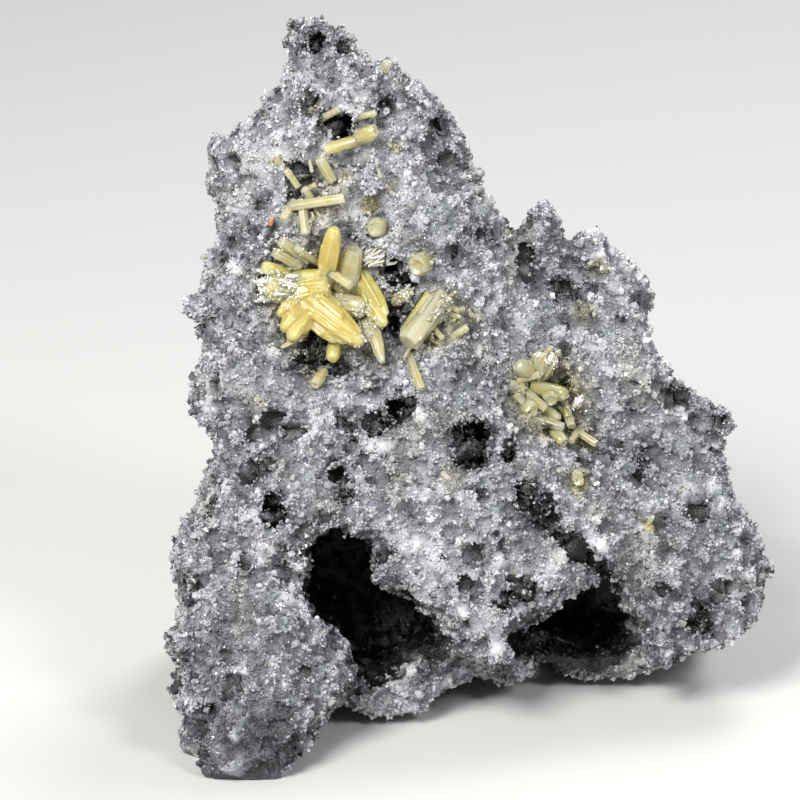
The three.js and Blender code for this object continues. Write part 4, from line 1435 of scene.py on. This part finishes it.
@dataclass
class Rock:
    """The block of quartz, roughened all over. Its lengths are in millimetres."""

    face: Face
    voxel: float = 0.34  # the pitch of its mesh
    smoothing: int = 4  # how often that mesh is smoothed
    nodule_pitch: float = 1.4
    bud_pitch: float = 0.78
    nodule_height: float = 0.66
    bud_height: float = 0.34
    flatten: float = 0.75  # the power that flattens nodules and buds
    hollow_depth: float = 0.8
    lump_height: float = 0.45
    dent_depth: float = 1.1  # how deep the dents behind are
    # how deep the front is full, and how deep it ends
    front_ends: tuple[float, float] = (3.0, 5.0)
    # how deep the dents start, and how deep they are full
    dents_start: tuple[float, float] = (10.0, 14.0)
    cave_start: float = 0.8  # how deep behind the face the caves start
    cave_end: float = 16.3  # how deep they end
    cave_fade: float = 1.2  # how far they fade in and out
    sink: float = 0.52  # how far the whole block is sunk, to make room for what stands on it
    # up to which height it rests flat, and from which it is rough
    still: tuple[float, float] = (0.1, 0.9)
    plug: float = 0.45  # how much wider than a crystal's root the plug of its socket is
    plugged: tuple[float, ...] = (0.0, 0.25, 0.5)  # where along a crystal the plugs stand
    proud: float = 0.4  # how far before the face a plug is no longer needed
    sky_rays: int = 14  # how many rays look for the sky
    sky_reach: float = 11.0  # how far they look
    clearance: float = 0.7  # how far off the surface they start
    far_wall: float = 0.6  # how light a wall at the end of that reach leaves a point

    def build(self) -> tuple[Shape, Ground]:
        """Makes the block in place of its solid.

        Returns:
            The piece, and what its surface is like.
        """
        solid = self._solid()
        sky = BVHTree.FromPolygons(
            [v.co for v in solid.data.vertices], [p.vertices for p in solid.data.polygons]
        )
        piece = join([solid, *self._plugs()], "quartz_rock")
        apply_modifier(piece, "REMESH", mode="VOXEL", voxel_size=self.voxel * MM)
        apply_modifier(piece, "SMOOTH", factor=0.5, iterations=self.smoothing)
        ground = self._roughen(piece)
        ground.open = self._openness(ground, sky)
        self._dress(piece, ground)
        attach(piece, BODY)
        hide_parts("matrix")
        return piece, ground

    def _solid(self) -> Shape:
        """Copies the frame's solid, with its corners merged.

        Returns:
            The copy.
        """
        node = frame["nodes"]["matrix"]
        mesh = node.data.copy()
        mesh.transform(node.matrix_world)
        mesh.materials.clear()
        piece = bpy.data.objects.new("quartz_rock", mesh)
        bpy.context.collection.objects.link(piece)
        with editing(piece, every):
            bpy.ops.mesh.remove_doubles(threshold=MERGED)
        return piece

    def _plugs(self) -> list[Shape]:
        """Makes balls that fill the sockets round the crystals' roots.

        Returns:
            The balls.
        """
        plugs = []
        for group in CRYSTAL_GROUPS:
            for member in group.members:
                radius = member.width / 2 + self.plug
                for share in self.plugged:
                    across, up = np.array(member.base) * (1 - share) + np.array(member.tip) * share
                    into = member.sink * (1 - share) - member.lift * share
                    if into < -self.proud:
                        continue
                    middle = self.face.depth(across, up) + radius + 0.1
                    bpy.ops.mesh.primitive_ico_sphere_add(
                        subdivisions=2,
                        radius=radius * MM,
                        location=self.face.place(across, middle, up),
                    )
                    plug = bpy.context.object
                    bpy.ops.object.transform_apply()
                    plugs.append(plug)
        return plugs

    def _roughen(self, piece: Shape) -> Ground:
        """Raises nodules and sinks hollows all over the piece, but for where it rests.

        Args:
            piece: the smooth block.

        Returns:
            What its surface is like, with the sky still to be found.
        """
        start = corners(piece.data)
        places = self.face.read(start)
        above = smooth(start[:, 2] / MM, *self.still)
        lump, number = nodules(places, self.nodule_pitch, NODULE_SALT)
        bud, _ = nodules(places, self.bud_pitch, BUD_SALT)
        depth = places[:, 1] - self.face.depth(places[:, 0], places[:, 2])
        full, end = self.front_ends
        front = smooth(-depth, -end, -full)
        ragged = strayed(places, (RAGGED, Swell.RAGGED_ACROSS, Swell.RAGGED_UP))
        pits = self._pits(places, ragged, front)
        pitted = swell(places, Swell.PITTED) + FINE_PITTING * swell(places, Swell.PITTED_FINE)
        hollow = np.maximum(pits, PITTED_DEPTH * smooth(pitted, *PITTED_SPAN))
        milky = zone_share(places, front, LUMPS) * (1 - pits)
        cave = self._caves(ragged, depth, front)
        dents = smooth(swell(places, Swell.DENTS), *DENT_SPAN)
        height = LEAST_NODULE + (1 - LEAST_NODULE) * number
        nodule = lump**self.flatten * height * (1 - milky)
        reliefs = {
            "nodules": (self.nodule_height, nodule),
            "buds": (self.bud_height, bud**self.flatten * (1 - milky)),
            "hollows": (-self.hollow_depth, hollow),
            "lumps": (self.lump_height, milky),
            "dents": (-self.dent_depth, dents * smooth(depth, *self.dents_start)),
            "sunk": (-self.sink, np.ones(len(start))),
        }
        for name, (raised, share) in reliefs.items():
            self._displace(piece, name, raised, share * above)
        points = corners(piece.data)
        places = self.face.read(points)
        normals = corners(piece.data, "normal")
        return Ground(
            points, normals, places, front, hollow, cave, milky, lump, number, open=front
        )

    @staticmethod
    def _pits(places: np.ndarray, ragged: np.ndarray, front: np.ndarray) -> np.ndarray:
        """Finds the pits and cracks.

        Args:
            places: rows of across, into and up.
            ragged: the same, a little astray.
            front: how much each point is part of the front.

        Returns:
            How much each point lies in one.
        """
        torn = strayed(
            places,
            (TORN, Swell.TORN_ACROSS, Swell.TORN_UP),
            (TORN_FINE, Swell.TORN_ACROSS_FINE, Swell.TORN_UP_FINE),
        )
        pits = zone_share(torn, front, PITS)
        pits *= smooth(pits + PIT_EDGE * swell(places, Swell.PIT_EDGES), *PIT_EDGE_SPAN)
        between = (1 - CRACK_RAGGED) * places + CRACK_RAGGED * ragged
        return np.maximum(pits, zone_share(between, front, CRACKS))

    def _caves(self, ragged: np.ndarray, depth: np.ndarray, front: np.ndarray) -> np.ndarray:
        """Finds the insides of the caves, and what lies in deep shade.

        Args:
            ragged: rows of across, into and up, a little astray.
            depth: how deep each point lies behind the face.
            front: how much it is part of the front.

        Returns:
            How much each point lies in one.
        """
        inner = smooth(depth, self.cave_start, self.cave_start + self.cave_fade)
        inner *= smooth(-depth, -self.cave_end - self.cave_fade, -self.cave_end)
        mouths = [within(ragged, mouth) * inner for mouth in CAVE_MOUTHS]
        return np.maximum.reduce([*mouths, zone_share(ragged, front, SHADED_ZONES)])

    @staticmethod
    def _displace(piece: Shape, name: str, height: float, share: np.ndarray) -> None:
        """Moves a piece's surface out by a height, as far as each corner's share says.

        Args:
            piece: the piece.
            name: a name for the shares while they are used.
            height: the height, in millimetres.
            share: one number from 0 to 1 for each corner.
        """
        group = piece.vertex_groups.new(name=name)
        levels = np.round(share * LEVELS).astype(int)
        for level in range(1, LEVELS + 1):
            group.add(np.flatnonzero(levels == level).tolist(), level / LEVELS, "REPLACE")
        apply_modifier(piece, "DISPLACE", vertex_group=name, strength=height * MM, mid_level=0)
        piece.vertex_groups.remove(piece.vertex_groups[name])

    def _openness(self, ground: Ground, sky: BVHTree) -> np.ndarray:
        """Finds how much of the sky each point sees past the block itself.

        Args:
            ground: the points.
            sky: the block's solid.

        Returns:
            One number from 0 to 1 for each point.
        """
        step = math.pi * (3 - math.sqrt(5))
        ways = []
        for i in range(self.sky_rays):
            rise = math.sqrt((i + 0.5) / self.sky_rays)
            flat = math.sqrt(1 - rise * rise)
            ways.append(Vector((flat * math.cos(step * i), flat * math.sin(step * i), rise)))
        reach = self.sky_reach * MM
        seen = np.empty(len(ground.points))
        for i, (point, normal) in enumerate(zip(ground.points, ground.normals, strict=True)):
            normal = Vector(normal)
            turn = normal.to_track_quat("Z", "Y")
            start = Vector(point) + normal * self.clearance * MM
            total = 0.0
            for way in ways:
                distance = sky.ray_cast(start, turn @ way, reach)[3]
                total += 1.0 if distance is None else self.far_wall * distance / reach
            seen[i] = total / self.sky_rays
        return seen

    @staticmethod
    def _dress(piece: Shape, ground: Ground) -> None:
        """Stores the surface's tones on the piece and gives it its finish.

        Args:
            piece: the piece.
            ground: what its surface is like.
        """
        # Painted shade: the block is darker between the grains and round the nodules' feet,
        # lighter on bald places and nodule tops.
        bare = np.maximum(ground.bald(), 0.5 * ground.lump)
        tone = ground.tone() * (SHADED_UNDER_CRUST + (1 - SHADED_UNDER_CRUST) * bare)
        cast = np.stack([tone, ground.shade(), ground.stained(), np.ones(len(tone))], axis=1)
        write_attribute(piece.data, "cast", "FLOAT_COLOR", cast)
        write_attribute(piece.data, "metal", "FLOAT", np.zeros(len(tone)))
        piece.data.materials.append(ROCK_FINISH.make())
        take(piece)
        bpy.ops.object.shade_smooth()


# ---- The druse ------------------------------------------------------------------------------
FLAT_EVERY = 3  # of the soft grains, one in so many is flat


@dataclass(frozen=True)
class Grain:
    """One small quartz crystal, modelled once: its corners, faces and flat map."""

    points: np.ndarray
    faces: np.ndarray
    flat_map: np.ndarray
    soft: bool  # whether most of its copies are shaded smooth


@dataclass(frozen=True)
class Coat:
    """One size of grains over the block."""

    shank: float  # the length of a grain's straight sides, beside its radius
    radius: float  # its middle radius, in millimetres
    spread: float  # how much the radii differ
    share_front: float  # how many of the rock's corners carry one on the front
    share_back: float  # how many carry one elsewhere
    brighten: float = 0.0  # how much lighter these grains are
    pure: bool = False  # whether none of them is dark, warm or ore
    sides: int = 5


@dataclass(frozen=True)
class Region:
    """A box of the rock's frame, in millimetres, whose grains are one piece."""

    name: str
    into: tuple[float, float]
    up: tuple[float, float]
    across: tuple[float, float] = (-math.inf, math.inf)

    def holds(self, places: np.ndarray) -> np.ndarray:
        """Says of each place whether it lies inside.

        Args:
            places: rows of across, into and up.

        Returns:
            True or False for each place.
        """
        low, high = np.array([self.across, self.into, self.up]).T
        return ((places >= low) & (places < high)).all(axis=1)


FRONT = (-math.inf, 8.0)
BACK = (8.0, math.inf)
HALF_CELL = (0.24, 0.48)  # the reach of a grain's upper or lower half in its cell of the map
ROOT_CLEARANCE = 0.05  # how far off a crystal's root the grains stay, in millimetres
ROOT_SHARE = 0.3  # how much of a crystal's length is its root
FROST_DENSITY = 22.0  # white points for each square millimetre


def beside_crystals(points: np.ndarray, face: Face) -> np.ndarray:
    """Says of each point whether it stands clear of every crystal.

    Args:
        points: rows of metres.
        face: the rock's frame.

    Returns:
        True or False for each point.
    """
    clear = np.ones(len(points), bool)
    for group in CRYSTAL_GROUPS:
        for member in group.members:
            start, end = (np.array(place) for place in member.ends(face))
            axis = end - start
            along = np.clip((points - start) @ axis / (axis @ axis), 0, 1)
            gap = np.linalg.norm(points - start - along[:, None] * axis, axis=1)
            away = gap > (member.width / 2 + ROOT_CLEARANCE) * MM
            clear &= away | (along < ROOT_SHARE)
    return clear


def frost_ground(pieces: Sequence[Shape], face: Face) -> Ground:
    """Scatters places for white points over the crystals.

    Faces and corners are taken in the order of their places, which is the same in each run.

    Args:
        pieces: the crystals.
        face: the rock's frame.

    Returns:
        The places, as a surface that carries a point at each of its corners.
    """
    random = np.random.default_rng(23)
    centres, normals = [], []
    for piece in pieces:
        vertices = piece.data.vertices
        for polygon in sorted(piece.data.polygons, key=lambda part: tuple(part.center)):
            ring = sorted(tuple(vertices[i].co) for i in polygon.vertices)
            corner = Vector(ring[random.integers(len(ring))])
            spots = FROST_DENSITY * polygon.area / MM**2
            for _ in range(int(spots + random.random())):
                centres.append(polygon.center.lerp(corner, random.random()))
                normals.append(polygon.normal.copy())
    points, normals = np.array(centres), np.array(normals)
    places = face.read(points)
    kept = random.random(len(points)) < zone_share(places, np.ones(len(points)), FROST_ZONES)
    none, full = np.zeros(kept.sum()), np.ones(kept.sum())
    return Ground(
        points[kept], normals[kept], places[kept], full, none, none, none, full, full, full
    )


@dataclass
class Druse:
    """The crust of small quartz points that covers the block."""

    face: Face
    coats: tuple[Coat, ...] = (
        Coat(shank=0.0, radius=0.14, spread=0.25, share_front=1.65, share_back=0.8),
        Coat(shank=0.5, radius=0.2, spread=0.3, share_front=0.12, share_back=0.07),
    )
    regions: tuple[Region, ...] = (
        Region("druse_front_upper", FRONT, (36.0, math.inf)),
        Region("druse_front_middle", FRONT, (21.0, 36.0)),
        Region("druse_front_left", FRONT, (-math.inf, 21.0), (-math.inf, 0.0)),
        Region("druse_front_right", FRONT, (-math.inf, 21.0), (0.0, math.inf)),
        Region("druse_back_upper", BACK, (24.0, math.inf)),
        Region("druse_back_lower", BACK, (-math.inf, 24.0)),
    )
    frost: Coat = Coat(0.0, 0.07, 0.35, 1.0, 1.0, brighten=0.5, pure=True)
    clear_of_table: float = 0.7  # how high the lowest grain stands, in millimetres
    stray: float = 0.2  # how far a grain may stand from its corner, in millimetres
    tilt: float = 0.6  # how much the grains' ways differ
    uneven: float = 0.22  # how much their corners differ
    stretch: tuple[float, float] = (0.7, 1.3)  # how long they are, beside their width
    larger_behind: float = 0.25  # how much larger they are behind
    seat: float = 0.15  # how deep they sit, in radii
    tone_noise: float = 0.095  # how much their tones differ
    ore_share: float = 0.03  # how many are ore; in a hollow there are ore_in_hollows times more
    ore_in_hollows: float = 2.0
    dark_share: float = 0.1  # how many are dark
    dark_tone: float = 0.25  # what that leaves of their tone
    bright_glint_share: float = 0.022  # how many are bright: white grains that also stand for glints, as painted highlights
    bright_glint_tone: float = 0.28  # how much lighter those are painted
    warm_share: float = 0.035  # how many are stained by themselves
    warmth: tuple[float, float] = (0.2, 0.6)  # how much those are stained
    bald_share: float = 0.7  # how many grains a bald place lacks
    cave_share: float = 0.6  # how many a cave lacks
    shut_share: float = 0.5  # how many are left where no sky is seen
    # up to how much sky a place counts as shut, and from how much as open
    shut_span: tuple[float, float] = (0.2, 0.5)

    def build(self, ground: Ground, crystals: Sequence[Shape]) -> list[Shape]:
        """Covers the block, and frosts the crystals.

        Args:
            ground: the rock's surface.
            crystals: the crystals that stand on it.

        Returns:
            The crust's pieces.
        """
        random = np.random.default_rng(5)
        parts: dict[str, list[tuple]] = {region.name: [] for region in self.regions}
        for coat in self.coats:
            grain = self._grain(coat)
            chosen = self._scatter(coat, ground, random)
            corners_of, cast, metal = self._set(coat, grain, ground, chosen, random)
            for region in self.regions:
                here = region.holds(ground.places[chosen])
                parts[region.name].append((grain, corners_of[here], cast[here], metal[here]))
        spots = frost_ground(crystals, self.face)
        grain = self._grain(self.frost)
        chosen = np.arange(len(spots.points))
        placed, cast, metal = self._set(self.frost, grain, spots, chosen, random)
        finish = DRUSE_FINISH.make()
        crusts = [self._gather(name, part, finish) for name, part in parts.items()]
        frosting = [(grain, placed, cast, metal)]
        return [*crusts, self._gather("crystal_frost", frosting, FROST_FINISH.make())]

    @staticmethod
    def _grain(coat: Coat) -> Grain:
        """Models one grain of a coat.

        Args:
            coat: its form.

        Returns:
            The grain, one unit in radius.
        """
        if coat.shank:
            bpy.ops.mesh.primitive_cylinder_add(vertices=coat.sides, radius=1, depth=coat.shank)
            piece = bpy.context.object
            with editing(piece, faces_up):
                bpy.ops.mesh.poke(offset=0.6)
        else:
            bpy.ops.mesh.primitive_cone_add(
                vertices=coat.sides, radius1=1, depth=1.0, location=(0, 0, 0.25)
            )
            piece = bpy.context.object
            bpy.ops.object.transform_apply()
        with editing(piece, every):
            bpy.ops.mesh.quads_convert_to_tris()
        mesh = piece.data
        points = corners(mesh)
        faces = np.array([tuple(face.vertices) for face in mesh.polygons])
        upper = points[faces].mean(axis=1)[:, 2] > 0
        spread = points[faces][:, :, :2] * (0.8 - 0.25 * np.abs(points[faces][:, :, 2:]))
        flat_map = 0.5 + spread * HALF_CELL
        flat_map[..., 0] += np.where(upper, -0.25, 0.25)[:, None]
        bpy.data.objects.remove(piece)
        return Grain(points, faces, flat_map, soft=not coat.shank)

    def _scatter(
        self, coat: Coat, ground: Ground, random: np.random.Generator
    ) -> np.ndarray:
        """Chooses the rock's corners that carry a grain of a coat.

        Args:
            coat: the coat.
            ground: the rock's surface.
            random: the source of chance.

        Returns:
            The corners' numbers, each as often as it carries a grain.
        """
        share = coat.share_back + (coat.share_front - coat.share_back) * ground.front
        share = share * (1 - self.bald_share * ground.bald())
        share = share * (1 - zone_share(ground.places, ground.front, BARE_ZONES))
        share = np.where(ground.points[:, 2] > self.clear_of_table * MM, share, 0)
        seen = smooth(ground.open, *self.shut_span)
        share = share * (self.shut_share + (1 - self.shut_share) * seen)
        share = share * (1 - self.cave_share * ground.cave)
        share = np.where(beside_crystals(ground.points, self.face), share, 0)
        carried = np.floor(share + random.random(len(share))).astype(int)
        return np.repeat(np.arange(len(share)), carried)

    def _set(
        self,
        coat: Coat,
        grain: Grain,
        ground: Ground,
        chosen: np.ndarray,
        random: np.random.Generator,
    ) -> tuple[np.ndarray, np.ndarray, np.ndarray]:
        """Places a coat's grains.

        Args:
            coat: the coat.
            grain: its grain.
            ground: the rock's surface.
            chosen: the rock's corners that carry one.
            random: the source of chance.

        Returns:
            For each grain its corners in metres, its cast and whether it is ore.
        """
        count = len(chosen)
        normals = ground.normals[chosen]
        back = 1 + self.larger_behind * (1 - ground.front[chosen])
        radius = coat.radius * np.exp(coat.spread * random.standard_normal(count)) * back
        stretch = random.uniform(*self.stretch, count)
        axis = normals + self.tilt * random.standard_normal((count, 3))
        axis /= np.linalg.norm(axis, axis=1)[:, None]
        side = np.cross(axis, random.standard_normal((count, 3)))
        side /= np.linalg.norm(side, axis=1)[:, None]
        frames = np.stack([side, np.cross(axis, side), axis * stretch[:, None]], axis=2)
        uneven = random.uniform(-1, 1, (count, len(grain.points), 1))
        shapes = grain.points[None] * (1 + self.uneven * uneven)
        local = np.einsum("nij,nkj->nki", frames, shapes) * (radius * MM)[:, None, None]
        aside = self.stray * MM * random.uniform(-1, 1, (count, 3))
        aside -= normals * (aside * normals).sum(1)[:, None]
        sunk = ground.points[chosen] + aside - normals * (self.seat * radius * MM)[:, None]
        chance = random.random(count) if not coat.pure else np.full(count, 0.5)
        noise = self.tone_noise * random.standard_normal(count)
        tone = ground.tone()[chosen] + noise + coat.brighten
        tone = np.where(chance < self.dark_share, self.dark_tone * tone, tone)
        # Some grains are painted bright, as painted glints.
        tone = np.where(chance > 1 - self.bright_glint_share, tone + self.bright_glint_tone, tone)
        mixed = 0.0 if coat.pure else 1.0
        more = 1 + self.ore_in_hollows * ground.hollow[chosen]
        ore = random.random(count) < mixed * self.ore_share * more
        warm = random.random(count) < mixed * self.warm_share
        stain = warm * random.uniform(*self.warmth, count)
        stained = np.maximum(ground.stained()[chosen], stain) * mixed
        # The grains take the block's painted shade.
        cast = np.stack([tone, ground.shade()[chosen], stained, np.ones(count)], axis=1)
        return local + sunk[:, None], np.clip(cast, 0, 1), ore.astype(float)

    @staticmethod
    def _gather(name: str, parts: Sequence[tuple], finish: bpy.types.Material) -> Shape:
        """Joins the grains of one region in one piece.

        Args:
            name: the piece's name.
            parts: for each coat its grain and its grains' corners, casts and ore.
            finish: their material.

        Returns:
            The piece.
        """
        total = sum(len(placed) for _, placed, _, _ in parts)
        rows = math.ceil(math.sqrt(total))
        points, faces, maps, casts, metals, softness = [], [], [], [], [], []
        first_point = first_cell = 0
        for grain, placed, cast, metal in parts:
            count, each = len(placed), len(grain.points)
            starts = first_point + each * np.arange(count)
            faces.append((grain.faces[None] + starts[:, None, None]).reshape(-1, 3))
            cells = first_cell + np.arange(count)
            corner = np.stack([cells % rows, cells // rows], axis=1) / rows
            flat = corner[:, None, None] + grain.flat_map[None] / rows
            maps.append(flat.reshape(-1, 2))
            points.append(placed.reshape(-1, 3))
            casts.append(np.repeat(cast, each, axis=0))
            metals.append(np.repeat(metal, each))
            soft = (np.arange(count) % FLAT_EVERY > 0) & grain.soft
            softness.append(np.repeat(soft, len(grain.faces)))
            first_point += count * each
            first_cell += count
        mesh = bpy.data.meshes.new(name)
        corner_list = np.concatenate(faces)
        mesh.vertices.add(first_point)
        mesh.vertices.foreach_set("co", np.concatenate(points).astype(np.float32).ravel())
        mesh.loops.add(corner_list.size)
        mesh.loops.foreach_set("vertex_index", corner_list.astype(np.int32).ravel())
        mesh.polygons.add(len(corner_list))
        starts = np.arange(0, corner_list.size, 3, dtype=np.int32)
        mesh.polygons.foreach_set("loop_start", starts)
        mesh.update(calc_edges=True)
        mesh.polygons.foreach_set("use_smooth", np.concatenate(softness))
        layer = mesh.uv_layers.new(name="OFBake")
        layer.data.foreach_set("uv", np.concatenate(maps).astype(np.float32).ravel())
        write_attribute(mesh, "cast", "FLOAT_COLOR", np.concatenate(casts))
        write_attribute(mesh, "metal", "FLOAT", np.concatenate(metals))
        mesh.materials.append(finish)
        piece = bpy.data.objects.new(name, mesh)
        bpy.context.collection.objects.link(piece)
        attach(piece, BODY)
        return piece


# ---- The studio -----------------------------------------------------------------------------
@dataclass(frozen=True)
class Lamp:
    """A soft square lamp, aimed at the specimen."""

    azimuth: float  # how far it stands to the right of the view, in degrees
    elevation: float  # how far it stands up, in degrees
    distance: float  # how far off it stands, in metres
    side: float  # how wide it is, in metres
    power: float
    colour: Colour = (1.0, 1.0, 1.0)


@dataclass
class Studio:
    """The pale floor, the lamps and the camera.

    The view's middle and width are in millimetres of the rock's frame, and the floor's side is
    in metres.
    """

    face: Face
    view_across: float = 0.0
    view_into: float = 2.0
    view_up: float = 30.24
    view_width: float = 64.0
    lens: float = 200.0
    film: float = 36.0
    elevation: float = 20.0
    nearest: float = 0.01
    floor_side: float = 3.0
    floor_colour: Colour = (0.56, 0.555, 0.54)
    floor_roughness: float = 0.7
    sky: Colour = (0.9, 0.95, 1.0)
    sky_strength: float = 0.34
    lamps: tuple[Lamp, ...] = (
        Lamp(-34, 46, 0.36, 0.14, 1.6, (1.0, 0.985, 0.96)),
        Lamp(-20, 42, 0.40, 0.035, 0.2),
        Lamp(42, 38, 0.42, 0.10, 0.75, (0.96, 0.98, 1.0)),
        Lamp(150, 50, 0.45, 0.16, 1.1),
    )

    def build(self) -> None:
        """Sets up the floor, the light and the camera."""
        target = self.face.place(self.view_across, self.view_into, self.view_up)
        bpy.context.scene.view_settings.view_transform = "Standard"
        self._camera(target)
        self._floor()
        self._sky()
        for lamp in self.lamps:
            self._lamp(lamp, target)

    def _camera(self, target: Vector) -> None:
        """Aims the camera along the view.

        Args:
            target: the middle of the view, in metres.
        """
        distance = self.view_width * MM * self.lens / self.film
        tilt = math.radians(self.elevation)
        back = Vector((0, -math.cos(tilt), math.sin(tilt))) * distance
        bpy.ops.object.camera_add(location=target + back, rotation=(math.pi / 2 - tilt, 0, 0))
        camera = bpy.context.object
        camera.data.lens = self.lens
        camera.data.sensor_width = self.film
        camera.data.clip_start = self.nearest
        bpy.context.scene.camera = camera

    def _floor(self) -> None:
        """Lays the floor."""
        bpy.ops.mesh.primitive_plane_add(size=self.floor_side)
        floor = bpy.context.object
        floor.name = "studio_floor"
        bench = Bench("floor_paint")
        inputs = {"Base Color": (*self.floor_colour, 1), "Roughness": self.floor_roughness}
        paint = bench.close(bench.node("ShaderNodeBsdfPrincipled", {}, inputs))
        floor.data.materials.append(paint)

    def _sky(self) -> None:
        """Lights the room evenly."""
        world = bpy.data.worlds.new("room")
        world.use_nodes = True
        glow = world.node_tree.nodes["Background"]
        glow.inputs["Color"].default_value = (*self.sky, 1)
        glow.inputs["Strength"].default_value = self.sky_strength
        bpy.context.scene.world = world

    @staticmethod
    def _lamp(lamp: Lamp, target: Vector) -> None:
        """Hangs one lamp and aims it at the specimen.

        Args:
            lamp: the lamp.
            target: the middle of the view, in metres.
        """
        turn, rise = math.radians(lamp.azimuth), math.radians(lamp.elevation)
        flat = math.cos(rise)
        way = Vector((math.sin(turn) * flat, -math.cos(turn) * flat, math.sin(rise)))
        bpy.ops.object.light_add(
            type="AREA",
            location=target + way * lamp.distance,
            rotation=way.to_track_quat("Z", "Y").to_euler(),
        )
        light = bpy.context.object.data
        light.size = lamp.side
        light.energy = lamp.power
        light.color = lamp.colour


def report(piece: Shape) -> None:
    """Logs a finished piece."""
    LOG.info("%s: %d faces", piece.name, len(piece.data.polygons))


def main() -> None:
    """Builds the studio, the crystals, the rock and its druse, in that order."""
    logging.basicConfig(level=logging.INFO, format="%(message)s")
    face = Face()
    Studio(face).build()
    maker = CrystalMaker(face)
    crystals = [group.build(maker) for group in CRYSTAL_GROUPS]
    for group in crystals:
        report(group)
    rock, ground = Rock(face).build()
    report(rock)
    for crust in Druse(face).build(ground, crystals):
        report(crust)


if __name__ == "__main__":
    main()
